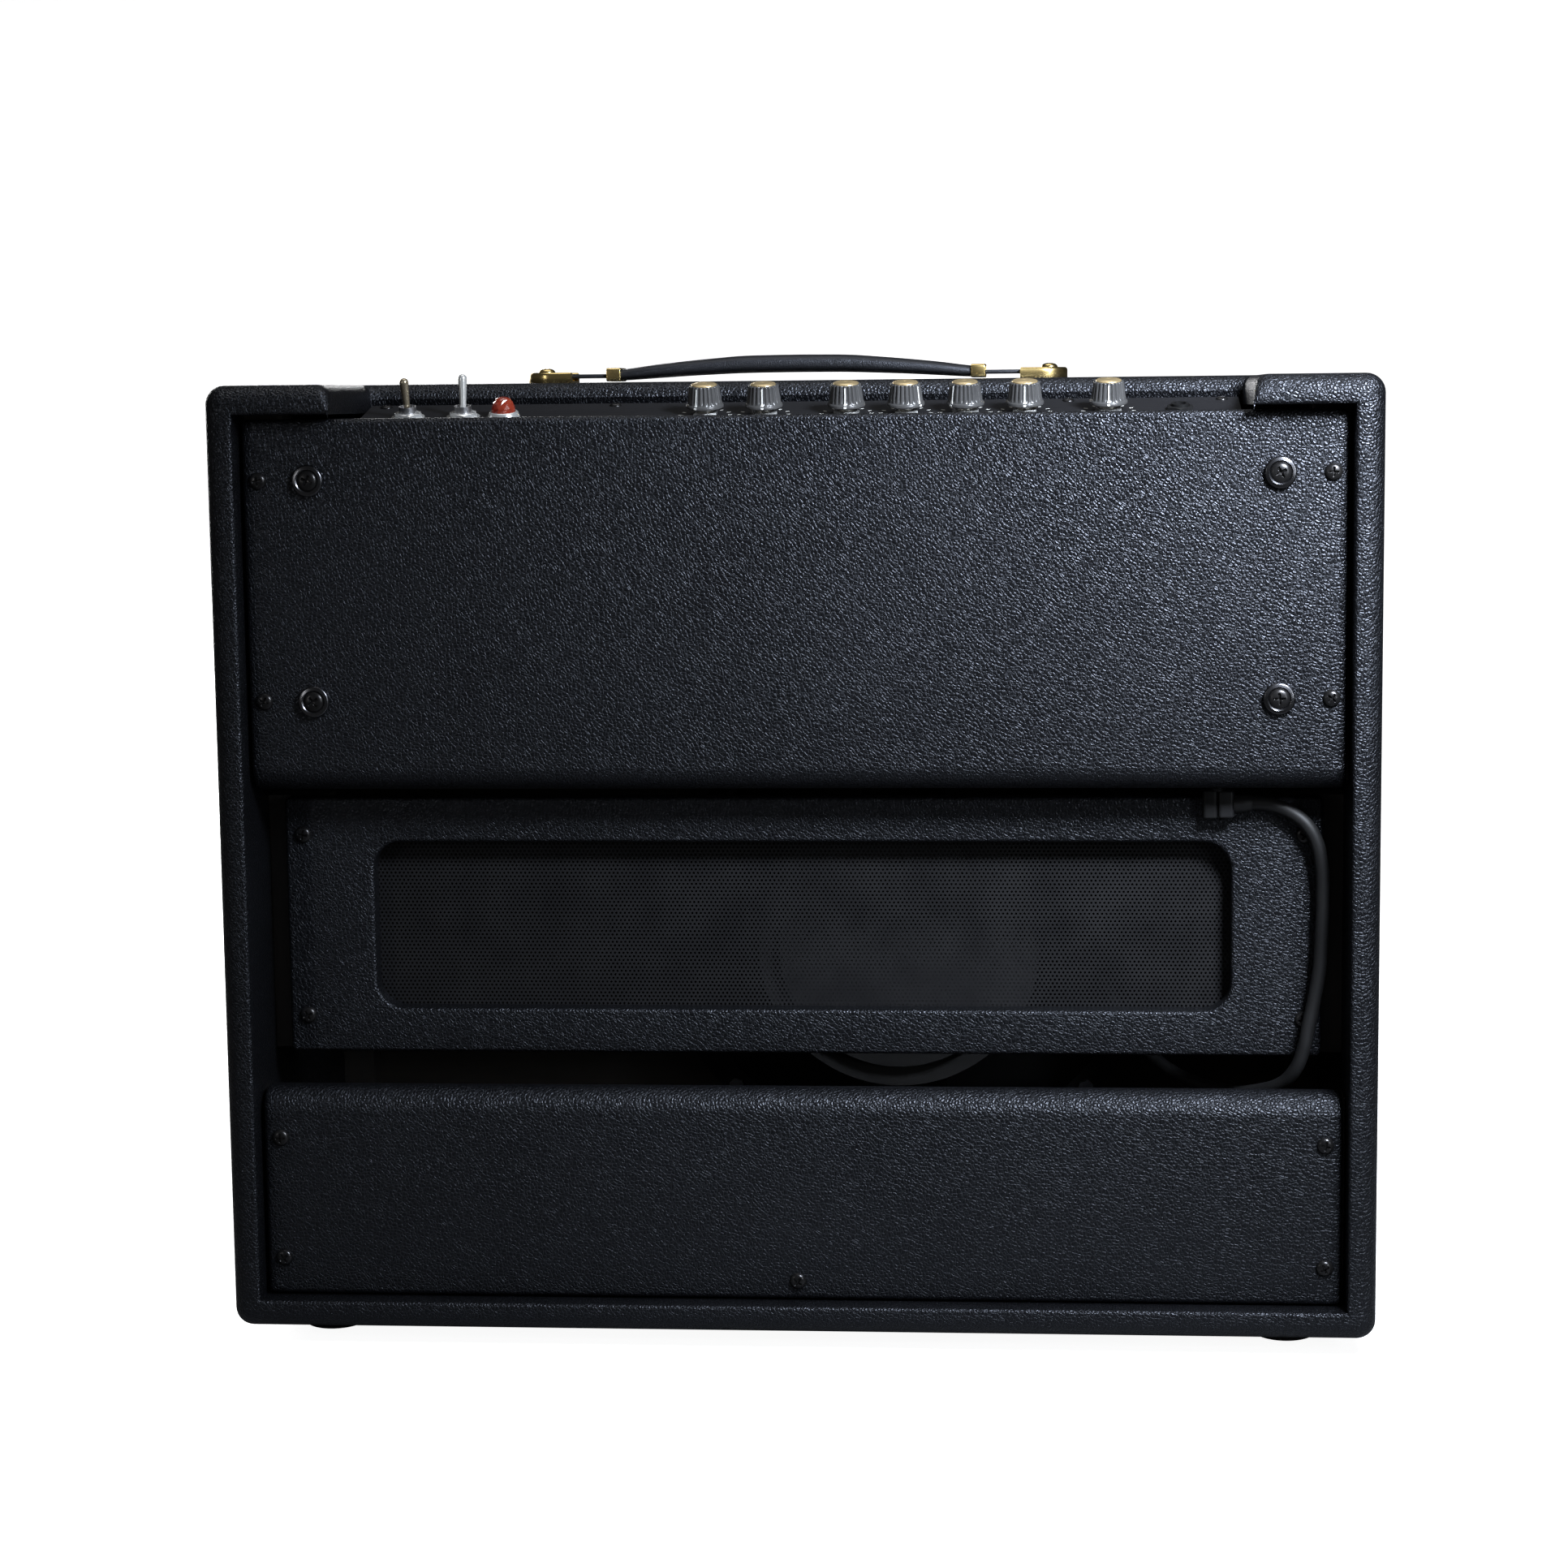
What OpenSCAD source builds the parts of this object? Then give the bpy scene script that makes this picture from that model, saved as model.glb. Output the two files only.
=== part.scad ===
// Guitar amplifier combo: covered cabinet with one 12 inch speaker, slanted top controls
// at the rear, screwed rear panels, vertical steel chassis and a strap handle.
// Millimetres. The front faces -Y, the rear faces +Y, up is +Z, the feet stand on Z = 0.

/* [Cabinet] */
// outside width of the cabinet
cab_w = 610; // [570:1:700]
// outside height of the cabinet, without feet or handle
cab_h = 504; // [490:1:560]
// outside depth of the cabinet
cab_d = 260; // [250:1:300]
// board thickness with the covering
wall = 15.5; // [12:0.5:20]
// radius of the outer edges
edge_r = 10; // [4:0.5:14]
// height of the rubber feet
foot_h = 10; // [6:0.5:20]
// radius of the rubber feet
foot_r = 19; // [12:0.5:25]

/* [Top recess] */
// width of the opening over the controls
rec_w = 476; // [440:1:500]
// how far the opening runs in from the rear
rec_d = 104; // [98:1:120]

/* [Rear panels] */
// depth from the rear rim to the outer face of the rear panels
panel_in = 12; // [4:0.5:16]
// thickness of the rear panels
panel_t = 16; // [12:0.5:18]
// gap round the rear panels
panel_gap = 2; // [1:0.25:4]
// height of the upper rear panel
upper_h = 196; // [170:1:215]
// height of the lower rear panel
lower_h = 113; // [80:1:130]
// radius of the two edges that face the middle opening
lip_r = 13; // [4:0.5:14]
// depth from the back of the upper rear panel to the face of the inner panel
inner_gap = 13; // [13:0.5:30]
// height of the inner panel
inner_h = 139; // [120:1:145]
// width of the mesh window
mesh_w = 460; // [380:1:480]
// height of the mesh window
mesh_h = 91; // [60:1:100]

/* [Controls] */
// lean of the control plate towards the rear, degrees
lean = 12; // [0:1:18]
// distance between neighbouring knobs in a group
knob_pitch = 31.5; // [28:0.5:34]
// knob diameter at the skirt
knob_d = 20; // [16:0.5:24]
// knob diameter at the top
knob_top_d = 16; // [12:0.5:20]
// knob height
knob_h = 16; // [12:0.5:20]
// length of the toggle levers
bat_l = 23; // [15:0.5:25]
// swing of the toggle levers to each side, degrees
bat_swing = 12; // [8:1:16]

/* [Speaker] */
// radius of the speaker frame
spk_r = 154; // [140:1:156]
// depth of the speaker behind the baffle
spk_depth = 126; // [115:1:130]
// radius of the magnet
mag_r = 78; // [60:1:85]
// height of the speaker centre above the cabinet floor edge
spk_z = 190; // [185:1:200]
// sideways offset of the speaker
spk_x = -50; // [-80:1:0]

/* [Handle] */
// length of the handle between the far ends of its end plates
handle_l = 300; // [260:1:320]
// height of the grip's top above the cabinet
handle_h = 14.5; // [13:0.5:24]
// distance of the handle from the rear rim
handle_in = 140; // [135:1:170]
// sideways offset of the handle
handle_x = 6; // [-10:1:10]

/* [Cable] */
// diameter of the speaker cable
cable_d = 7.4; // [5:0.2:9]

/* [Hidden] */
$fn = 48;
rear_y = cab_d / 2;
zb = foot_h;
top_z = zb + cab_h;
in_x = cab_w / 2 - wall;
floor_z = zb + wall;
roof_z = top_z - wall;
panel_w = 2 * (in_x - panel_gap);
panel_y = rear_y - panel_in;
// gaps: over the upper panel, under the lower panel, below the upper panel to the inner one
roof_gap = 2.5;
floor_gap = 1;
inner_drop = 7;
upper_z1 = roof_z - roof_gap;
upper_z0 = upper_z1 - upper_h;
lower_z0 = floor_z + floor_gap;
lower_z1 = lower_z0 + lower_h;
inner_y = panel_y - panel_t - inner_gap;
inner_t = 12;
inner_z0 = upper_z0 - inner_drop - inner_h;
inner_z1 = upper_z0 - inner_drop;
inner_w = panel_w - 19;
mesh_z = inner_z0 + inner_h / 2;
// fixings: how far in they stand from the ends of their panels, and how far down
edge_screw_in = 8.2;
inner_screw_in = 9.8;
bolt_in = 35;
bolt_down = 32;
bolt_pitch = 116;
end_screw = 20;
edge_screw_x = panel_w / 2 - edge_screw_in;
inner_screw_x = inner_w / 2 - inner_screw_in;
bolt_x = panel_w / 2 - bolt_in;
bolt_z1 = upper_z1 - bolt_down;
bolt_z0 = bolt_z1 - bolt_pitch;
cleat = 20;
sheet = 1.5;
// every screw that holds the rear panels: x, height, y of the face it sits on
SCREWS = [
    for (s = [-1, 1])
        for (z = [bolt_z0, bolt_z1])
            [s * edge_screw_x, z, panel_y],
    for (s = [-1, 1])
        for (z = [lower_z0 + end_screw, lower_z1 - lip_r - 14])
            [s * (edge_screw_x - 1), z, panel_y],
    [0, lower_z0 + end_screw / 2, panel_y],
    for (s = [-1, 1])
        for (z = [inner_z0 + end_screw, inner_z1 - end_screw])
            [s * inner_screw_x, z, inner_y]
];
// screw and bolt sizes: shank radius, hole that it cuts its thread in, hole that it passes
screw_r = 2;
pilot_r = 2.1;
pass_r = 2.2;
bolt_r = 2.5;
// rounding of the recess edges, distance of the feet from the sides, front and rear
rec_edge_r = 8;
foot_in = 45;
// chassis: vertical tray open towards the rear, hung behind the upper rear panel
tray_x = rec_w / 2 - 3;
tray_y = panel_y - panel_t - 0.3;
tray_d = 65;
tray_z0 = upper_z0 + 10;
plate_yc = rear_y - 62;
plate_zc = top_z - 18;
plate_l = 62;
// control positions along X, seen from the rear they run from left to right
knob_x = [48.5, 17, -27, -27 - knob_pitch, -27 - 2 * knob_pitch, -27 - 3 * knob_pitch, -165.5];
bat_x = [209, 179];
lamp_x = 157;
jack_x = -203;
gland_x = 205;
shaft_r = 3.15;
bush_r = 4.75;
jack_bore_r = 3.2;
plate_t = 1.2;
// every hole in the control plate and the tray's top: x, radius
HOLES = [
    for (x = knob_x)
        [x, bush_r + 0.1],
    for (x = bat_x)
        [x, 6.1],
    [lamp_x, 6.1],
    [jack_x, bush_r + 0.1]
];
// tube sockets on the front wall of the tray: x, height, radius
wall_y = tray_y - tray_d;
tube_z = (bolt_z0 + bolt_z1) / 2 + 6;
SOCKETS = [
    [90, tube_z, 13], [48, tube_z, 13], [6, tube_z, 13],
    [-44, tube_z, 17], [-98, tube_z, 17]
];
// baffle and speaker
baf_t = 15;
baf_y1 = -cab_d / 2 + 32;
baf_y0 = baf_y1 - baf_t;
grille_t = 9;
cloth_t = 1.2;
grille_gap = 2.5;
spk_y = baf_y1;
spk_zz = zb + spk_z;
spk_bolt_r = spk_r - 6.5;
basket_r = spk_r - 13;
basket_d = spk_depth - 34;
cone_r = spk_r - 27;
coil_r = 20.2;
cone_d = 59.4;
// radius of the basket's outer face at height h over the flange
function basket_at(h) = basket_r - (basket_r - mag_r + 15) * h / basket_d;
// handle: distance of its screws and of the strap pins from the plates' far ends
handle_screw_in = 10;
handle_pin_in = 22;
// speaker cable: jack plug, side run, under the inner panel, speaker terminals
jack_y = tray_y - 7.7;
jack_out_x = -222;
// the route's heights are written for an upper panel that ends 300 above the floor
ZD = upper_z0 - 300;
CABLE = [
    [-231, jack_y, 290 + ZD],
    [-241, jack_y, 290.5 + ZD],
    [-251, jack_y, 289.5 + ZD],
    [-261, jack_y + 1, 285.5 + ZD],
    [-269, jack_y + 2, 279 + ZD],
    [-274.5, jack_y + 2.5, 269 + ZD],
    [-277, jack_y + 2.5, 255 + ZD],
    [-277.5, jack_y + 2.5, 240 + ZD],
    [-277, jack_y + 2.5, 222 + ZD],
    [-276, jack_y + 2.5, 203 + ZD],
    [-273.5, jack_y + 2.5, 187 + ZD],
    [-270.5, jack_y + 2.5, 172 + ZD],
    [-268, jack_y + 2, 159 + ZD],
    [-264, jack_y, 148 + ZD],
    [-257, jack_y - 6, 139 + ZD],
    [-246, jack_y - 16, 133 + ZD],
    [-232, jack_y - 30, 129 + ZD],
    [-217, jack_y - 46, 129 + ZD],
    [-203, jack_y - 62, 132 + ZD],
    [-190, jack_y - 78, 139 + ZD],
    [-179, jack_y - 94, 150 + ZD],
    [-169, jack_y - 109, 165 + ZD],
    [-161, jack_y - 121, 181 + ZD],
    [-156, jack_y - 129, 196 + ZD]
];

// ---------- helpers ----------
module box(x0, x1, y0, y1, z0, z1) {
    translate([x0, y0, z0])
        cube([x1 - x0, y1 - y0, z1 - z0]);
}

module both_sides() {
    children();
    mirror([1, 0, 0])
        children();
}

// removes the corner of a block along X; the corner lies on the origin, material at -Y +Z
module lip_cut(len, r) {
    difference() {
        box(-len / 2, len / 2, -r, 0.01, -0.01, r);
        translate([0, -r, r])
            rotate([0, 90, 0])
                cylinder(r = r, h = len + 2, center = true, $fn = 64);
    }
}

// removes the corner of a block along Y; the corner lies on the origin, material at +X -Z
module side_cut(len, r) {
    difference() {
        box(-0.01, r, -len / 2, len / 2, -r, 0.01);
        translate([r, 0, -r])
            rotate([90, 0, 0])
                cylinder(r = r, h = len + 2, center = true, $fn = 64);
    }
}

module hole_y(x, z, r, y0, y1) {
    translate([x, y0, z])
        rotate([-90, 0, 0])
            cylinder(r = r, h = y1 - y0, $fn = 32);
}

// local frame of the control plate: z = 0 is the plate's top face, +Z out of it
module on_plate(x) {
    translate([x, plate_yc, plate_zc])
        rotate([-lean, 0, 0])
            children();
}

module screw_holes(r, deep) {
    for (p = SCREWS)
        hole_y(p[0], p[1], r, p[2] - deep, p[2] + 1);
}

// ---------- cabinet ----------
module cabinet_shell() {
    color([0.07, 0.07, 0.08])
        difference() {
            hull()
                for (x = [-1, 1])
                    for (y = [-1, 1])
                        for (z = [0, 1])
                            translate([
                                x * (cab_w / 2 - edge_r),
                                y * (cab_d / 2 - edge_r),
                                zb + edge_r + z * (cab_h - 2 * edge_r)
                            ])
                                sphere(r = edge_r, $fn = 32);
            box(-in_x, in_x, -cab_d, cab_d, floor_z, roof_z);
            box(-rec_w / 2, rec_w / 2, rear_y - rec_d, cab_d, roof_z - 1, top_z + 5);
            both_sides()
                translate([rec_w / 2, rear_y - rec_d / 2, top_z])
                    side_cut(rec_d + 2 * rec_edge_r, rec_edge_r);
            translate([0, rear_y - rec_d, top_z])
                mirror([0, 0, 1])
                    lip_cut(rec_w, rec_edge_r);
            at_feet()
                translate([0, 0, zb - 1])
                    cylinder(r = pilot_r, h = 13, $fn = 24);
            on_top()
                for (s = [-1, 1])
                    translate([s * (handle_l / 2 - handle_screw_in), 0, -14])
                        cylinder(r = pilot_r, h = 20, $fn = 24);
        }
}

module cleats() {
    color([0.1, 0.09, 0.08])
        difference() {
            union() {
                both_sides() {
                    box(in_x - cleat, in_x, panel_y - panel_t - cleat, panel_y - panel_t,
                        upper_z0 + 4, roof_z);
                    box(in_x - cleat, in_x, panel_y - panel_t - cleat, panel_y - panel_t,
                        floor_z, lower_z1 - 5);
                    box(inner_screw_x - 11, in_x, inner_y - inner_t - cleat, inner_y - inner_t,
                        inner_z0, inner_z1);
                    box(in_x - 18, in_x, baf_y1, baf_y1 + 18, floor_z, roof_z);
                }
                box(-200, 200, panel_y - panel_t - cleat, panel_y - panel_t, floor_z, floor_z + 20);
            }
            screw_holes(pilot_r, 34);
        }
}

module baffle_board() {
    color([0.11, 0.1, 0.09])
        difference() {
            box(-in_x, in_x, baf_y0, baf_y1, floor_z, roof_z);
            hole_y(spk_x, spk_zz, spk_r - 14, baf_y0 - 1, baf_y1 + 1);
            for (a = [45 : 90 : 315])
                hole_y(spk_x + spk_bolt_r * cos(a), spk_zz + spk_bolt_r * sin(a), 2.6,
                    baf_y0 - 1, baf_y1 + 1);
        }
}

module grille_frame() {
    g = grille_gap;
    rail = 32;
    color([0.12, 0.1, 0.09])
        difference() {
            box(-in_x + g, in_x - g, baf_y0 - grille_t, baf_y0, floor_z + g, roof_z - g);
            box(-in_x + rail, in_x - rail, baf_y0 - grille_t - 1, baf_y0 + 1,
                floor_z + rail, roof_z - rail);
        }
}

module grille_cloth() {
    g = grille_gap;
    color([0.45, 0.43, 0.4])
        box(-in_x + g, in_x - g, baf_y0 - grille_t - cloth_t, baf_y0 - grille_t,
            floor_z + g, roof_z - g);
}

// thin bead that closes the gap round the grille
module grille_piping() {
    y = baf_y0 - grille_t + 1;
    r = 1.2;
    x = in_x - grille_gap / 2;
    z0 = floor_z + grille_gap / 2;
    z1 = roof_z - grille_gap / 2;
    color([0.8, 0.78, 0.72])
        union() {
            both_sides()
                translate([x, y, z0])
                    cylinder(r = r, h = z1 - z0, $fn = 24);
            for (z = [z0, z1])
                translate([-x, y, z])
                    rotate([0, 90, 0])
                        cylinder(r = r, h = 2 * x, $fn = 24);
            for (z = [z0, z1])
                both_sides()
                    translate([x, y, z])
                        sphere(r = r, $fn = 24);
        }
}

module at_feet() {
    for (s = [-1, 1])
        for (y = [rear_y - foot_in - 5, foot_in - rear_y])
            translate([s * (cab_w / 2 - foot_in), y, 0])
                children();
}

module feet() {
    color([0.05, 0.05, 0.05])
        at_feet()
            union() {
                difference() {
                    cylinder(r1 = foot_r - 2.5, r2 = foot_r, h = foot_h);
                    translate([0, 0, -1])
                        cylinder(r = 6, h = 5);
                }
                translate([0, 0, foot_h - 2])
                    cylinder(r = screw_r, h = 12, $fn = 24);
            }
}

// ---------- rear panels ----------
module upper_rear_panel() {
    color([0.08, 0.08, 0.09])
        difference() {
            box(-panel_w / 2, panel_w / 2, panel_y - panel_t, panel_y, upper_z0, upper_z1);
            translate([0, panel_y, upper_z0])
                lip_cut(panel_w + 2, lip_r);
            translate([0, panel_y, upper_z1])
                mirror([0, 0, 1])
                    lip_cut(panel_w + 2, 3);
            screw_holes(pass_r, panel_t + 1);
            for (s = [-1, 1])
                for (z = [bolt_z0, bolt_z1])
                    hole_y(s * bolt_x, z, 3.1, panel_y - panel_t - 1, panel_y + 1);
        }
}

module lower_rear_panel() {
    color([0.08, 0.08, 0.09])
        difference() {
            box(-panel_w / 2, panel_w / 2, panel_y - panel_t, panel_y, lower_z0, lower_z1);
            translate([0, panel_y, lower_z1])
                mirror([0, 0, 1])
                    lip_cut(panel_w + 2, lip_r);
            translate([0, panel_y, lower_z0])
                lip_cut(panel_w + 2, 3);
            screw_holes(pass_r, panel_t + 1);
        }
}

module inner_panel() {
    cr = 15;
    color([0.08, 0.08, 0.09])
        difference() {
            box(-inner_w / 2, inner_w / 2, inner_y - inner_t, inner_y, inner_z0, inner_z1);
            union() {
                box(-mesh_w / 2 + cr, mesh_w / 2 - cr, inner_y - 20, inner_y + 1,
                    mesh_z - mesh_h / 2, mesh_z + mesh_h / 2);
                box(-mesh_w / 2, mesh_w / 2, inner_y - 20, inner_y + 1,
                    mesh_z - mesh_h / 2 + cr, mesh_z + mesh_h / 2 - cr);
                for (x = [-1, 1])
                    for (z = [-1, 1])
                        hole_y(x * (mesh_w / 2 - cr), mesh_z + z * (mesh_h / 2 - cr), cr,
                            inner_y - 20, inner_y + 1);
            }
            screw_holes(pass_r, inner_t + 1);
        }
}

// the fine perforated sheet behind the window, as a plain sheet with a folded rim
module mesh_screen() {
    y = inner_y - inner_t;
    color([0.2, 0.2, 0.21])
        difference() {
            box(-mesh_w / 2 - 12, mesh_w / 2 + 12, y - 4, y,
                mesh_z - mesh_h / 2 - 9, mesh_z + mesh_h / 2 + 9);
            box(-mesh_w / 2 - 11, mesh_w / 2 + 11, y - 5, y - 1,
                mesh_z - mesh_h / 2 - 8, mesh_z + mesh_h / 2 + 8);
        }
}

// ---------- fixings ----------
// pan head with a cross recess
module pan_screw(len) {
    difference() {
        union() {
            cylinder(r1 = 4.6, r2 = 3.4, h = 2.6, $fn = 32);
            translate([0, 0, -len])
                cylinder(r = screw_r, h = len + 0.5, $fn = 24);
        }
        for (a = [0, 90])
            rotate([0, 0, a])
                box(-2.3, 2.3, -0.45, 0.45, 1.4, 4);
    }
}

module panel_screws() {
    color([0.06, 0.06, 0.06])
        for (p = SCREWS)
            translate([p[0], p[2], p[1]])
                rotate([-90, 0, 0])
                    pan_screw(30);
}

module chassis_bolts() {
    color([0.1, 0.1, 0.1])
        for (s = [-1, 1])
            for (z = [bolt_z0, bolt_z1])
                translate([s * bolt_x, panel_y, z])
                    rotate([-90, 0, 0])
                        difference() {
                            union() {
                                translate([0, 0, 1.2])
                                    cylinder(r1 = bolt_r, r2 = 5.4, h = 2.6, $fn = 32);
                                translate([0, 0, 3.8])
                                    cylinder(r1 = 5.4, r2 = 4.2, h = 1, $fn = 32);
                                translate([0, 0, -26])
                                    cylinder(r = bolt_r, h = 28, $fn = 32);
                            }
                            for (a = [0, 90])
                                rotate([0, 0, a])
                                    box(-2.8, 2.8, -0.55, 0.55, 3.2, 6);
                        }
}

module cup_washers() {
    color([0.2, 0.2, 0.21])
        for (s = [-1, 1])
            for (z = [bolt_z0, bolt_z1])
                translate([s * bolt_x, panel_y, z])
                    rotate([-90, 0, 0])
                        difference() {
                            union() {
                                cylinder(r = 8.3, h = 1, $fn = 48);
                                translate([0, 0, 1])
                                    cylinder(r1 = 8.3, r2 = 6.4, h = 2.2, $fn = 48);
                            }
                            translate([0, 0, -1])
                                cylinder(r = 2.8, h = 6, $fn = 32);
                            translate([0, 0, 1.2])
                                cylinder(r1 = 2.8, r2 = 5.8, h = 2.6, $fn = 48);
                        }
}

// ---------- speaker ----------
module on_speaker() {
    translate([spk_x, spk_y, spk_zz])
        rotate([-90, 0, 0])
            children();
}

// every hole and bolt through the speaker's flange
module at_flange_bolts() {
    for (a = [45 : 90 : 315])
        rotate([0, 0, a])
            translate([spk_bolt_r, 0, 0])
                children();
}

module speaker_basket() {
    d = basket_d;
    skin_t = 3;
    color([0.13, 0.13, 0.14])
        on_speaker()
            difference() {
                union() {
                    difference() {
                        cylinder(r = spk_r, h = 2, $fn = 96);
                        translate([0, 0, -1])
                            cylinder(r = spk_r - 17, h = 4, $fn = 96);
                    }
                    difference() {
                        translate([0, 0, -3])
                            cylinder(r = spk_r - 15, h = 5, $fn = 96);
                        translate([0, 0, -4])
                            cylinder(r = spk_r - 19.5, h = 7, $fn = 96);
                    }
                    difference() {
                        cylinder(r1 = basket_r, r2 = basket_at(d), h = d, $fn = 96);
                        translate([0, 0, -0.01])
                            cylinder(r1 = basket_r - skin_t, r2 = basket_at(d) - skin_t, h = d - 2,
                                $fn = 96);
                        for (a = [30 : 60 : 330])
                            rotate([0, 0, a])
                                box(mag_r - 4, spk_r, -24, 24, 14, d - 8);
                    }
                }
                translate([0, 0, d - 4])
                    cylinder(r = coil_r + 1.8, h = 8, $fn = 64);
                at_flange_bolts()
                    translate([0, 0, -1])
                        cylinder(r = 2.6, h = 5, $fn = 24);
            }
}

module speaker_magnet() {
    d = basket_d;
    color([0.2, 0.2, 0.21])
        on_speaker()
            difference() {
                union() {
                    translate([0, 0, d])
                        cylinder(r = mag_r - 18, h = 6, $fn = 64);
                    translate([0, 0, d + 6])
                        cylinder(r = mag_r, h = 22, $fn = 96);
                    translate([0, 0, d + 28])
                        cylinder(r = mag_r - 12, h = 6, $fn = 64);
                }
                difference() {
                    translate([0, 0, d - 1])
                        cylinder(r = coil_r + 1.8, h = 30, $fn = 64);
                    translate([0, 0, d - 2])
                        cylinder(r = coil_r - 0.7, h = 32, $fn = 64);
                }
            }
}

// cone with its roll surround and voice coil
module speaker_cone() {
    color([0.09, 0.09, 0.1])
        on_speaker()
            union() {
                difference() {
                    translate([0, 0, -3])
                        cylinder(r1 = cone_r, r2 = coil_r + 2, h = cone_d + 0.6, $fn = 96);
                    translate([0, 0, -3.01])
                        cylinder(r1 = cone_r - 2, r2 = coil_r, h = cone_d, $fn = 96);
                    translate([0, 0, cone_d - 9.4])
                        cylinder(r = coil_r, h = 10, $fn = 64);
                }
                translate([0, 0, cone_d - 5.4])
                    difference() {
                        cylinder(r = coil_r + 0.6, h = basket_d - cone_d + 17.4, $fn = 64);
                        translate([0, 0, -1])
                            cylinder(r = coil_r, h = basket_d, $fn = 64);
                    }
                rotate_extrude($fn = 96)
                    translate([cone_r + 3, -3])
                        difference() {
                            circle(r = 4, $fn = 24);
                            circle(r = 3, $fn = 24);
                            translate([-5, 0])
                                square([10, 5]);
                        }
            }
}

// domed cap on the cone: a thin shell cut where the cone's inner face meets it
module dust_cap() {
    dome_r = 52;
    rim_r = 41.8;
    seat = (cone_r - 2 - rim_r) / (cone_r - 2 - coil_r) * cone_d - 3.1;
    color([0.1, 0.1, 0.1])
        on_speaker()
            translate([0, 0, seat])
                difference() {
                    intersection() {
                        translate([0, 0, sqrt(dome_r * dome_r - rim_r * rim_r)])
                            sphere(r = dome_r, $fn = 64);
                        translate([0, 0, -30])
                            cylinder(r = rim_r, h = 30, $fn = 64);
                    }
                    translate([0, 0, sqrt(dome_r * dome_r - rim_r * rim_r)])
                        sphere(r = dome_r - 1.4, $fn = 64);
                }
}

module speaker_screws() {
    color([0.3, 0.3, 0.3])
        on_speaker()
            at_flange_bolts()
                union() {
                    translate([0, 0, -14])
                        cylinder(r = 2.4, h = 19, $fn = 24);
                    translate([0, 0, 2])
                        cylinder(r = 4.6, h = 3.5, $fn = 6);
                }
}

// insulated board with two tags beside the frame
module speaker_terminals() {
    edge = basket_at(54) + 0.05;
    color([0.45, 0.3, 0.18])
        on_speaker()
            union() {
                box(-edge - 21, -edge, -10, 10, 54, 56);
                box(-edge - 17, -edge - 15.6, -7, -4, 50, 62.5);
                box(-edge - 17, -edge - 15.6, 4, 7, 50, 62.5);
                box(-edge - 8, -edge - 3, -3, 3, 55, 59);
            }
}

// ---------- chassis ----------
// everything over the underside of the control plate
module over_plate() {
    on_plate(0)
        box(-cab_w, cab_w, -cab_d, cab_d, -plate_t, cab_h);
}

module chassis_tray() {
    z1 = top_z;
    color([0.6, 0.6, 0.62])
        difference() {
            union() {
                difference() {
                    box(-tray_x, tray_x, wall_y, tray_y, tray_z0, z1);
                    difference() {
                        box(-tray_x + sheet, tray_x - sheet, wall_y + sheet, tray_y + 1,
                            tray_z0 + sheet, z1 + 5);
                        on_plate(0)
                            box(-cab_w, cab_w, -cab_d, cab_d, -plate_t - sheet, cab_h);
                    }
                    over_plate();
                }
                both_sides() {
                    box(tray_x - 1, bolt_x + 12, tray_y - sheet, tray_y, bolt_z0 - 16, bolt_z1 + 16);
                    for (z = [bolt_z0, bolt_z1])
                        hole_y(bolt_x, z, 5, tray_y - 5, tray_y - 1);
                }
            }
            for (s = [-1, 1])
                for (z = [bolt_z0, bolt_z1])
                    hole_y(s * bolt_x, z, bolt_r + 0.1, tray_y - 8, tray_y + 1);
            plate_holes();
            for (p = SOCKETS)
                hole_y(p[0], p[1], p[2] - 2, wall_y - 2, wall_y + 4);
            translate([jack_out_x, jack_y, tray_z0 - 1])
                cylinder(r = bush_r + 0.1, h = 4, $fn = 32);
            translate([gland_x, jack_y, tray_z0 - 1])
                cylinder(r = 5.5, h = 4, $fn = 32);
        }
}

module plate_holes() {
    for (h = HOLES)
        on_plate(h[0])
            translate([0, 0, -6])
                cylinder(r = h[1], h = 10, $fn = 32);
}

module control_plate() {
    color([0.1, 0.1, 0.11])
        difference() {
            on_plate(0)
                box(-tray_x, tray_x, -plate_l / 2, plate_l / 2, -plate_t, 0);
            plate_holes();
        }
}

module toward_front(x, z) {
    translate([x, wall_y, z])
        rotate([90, 0, 0])
            children();
}

module tube_sockets() {
    color([0.82, 0.8, 0.74])
        for (p = SOCKETS)
            toward_front(p[0], p[1])
                union() {
                    cylinder(r = p[2], h = 7, $fn = 48);
                    translate([0, 0, -5])
                        cylinder(r = p[2] - 2.3, h = 6, $fn = 48);
                }
}

module small_tubes() {
    color([0.8, 0.85, 0.88, 0.4])
        for (i = [0 : 2])
            toward_front(SOCKETS[i][0], SOCKETS[i][1])
                translate([0, 0, 7])
                    union() {
                        cylinder(r = 10.8, h = 40, $fn = 48);
                        translate([0, 0, 40])
                            cylinder(r1 = 10.8, r2 = 3, h = 7, $fn = 48);
                        translate([0, 0, 46])
                            cylinder(r = 2.4, h = 3.5, $fn = 24);
                    }
}

module power_tubes() {
    color([0.8, 0.85, 0.88, 0.4])
        for (i = [3, 4])
            toward_front(SOCKETS[i][0], SOCKETS[i][1])
                translate([0, 0, 7])
                    union() {
                        cylinder(r = 15.5, h = 14, $fn = 48);
                        translate([0, 0, 14])
                            cylinder(r = 14.5, h = 44, $fn = 48);
                        translate([0, 0, 58])
                            cylinder(r1 = 14.5, r2 = 6, h = 8, $fn = 48);
                    }
}

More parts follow.
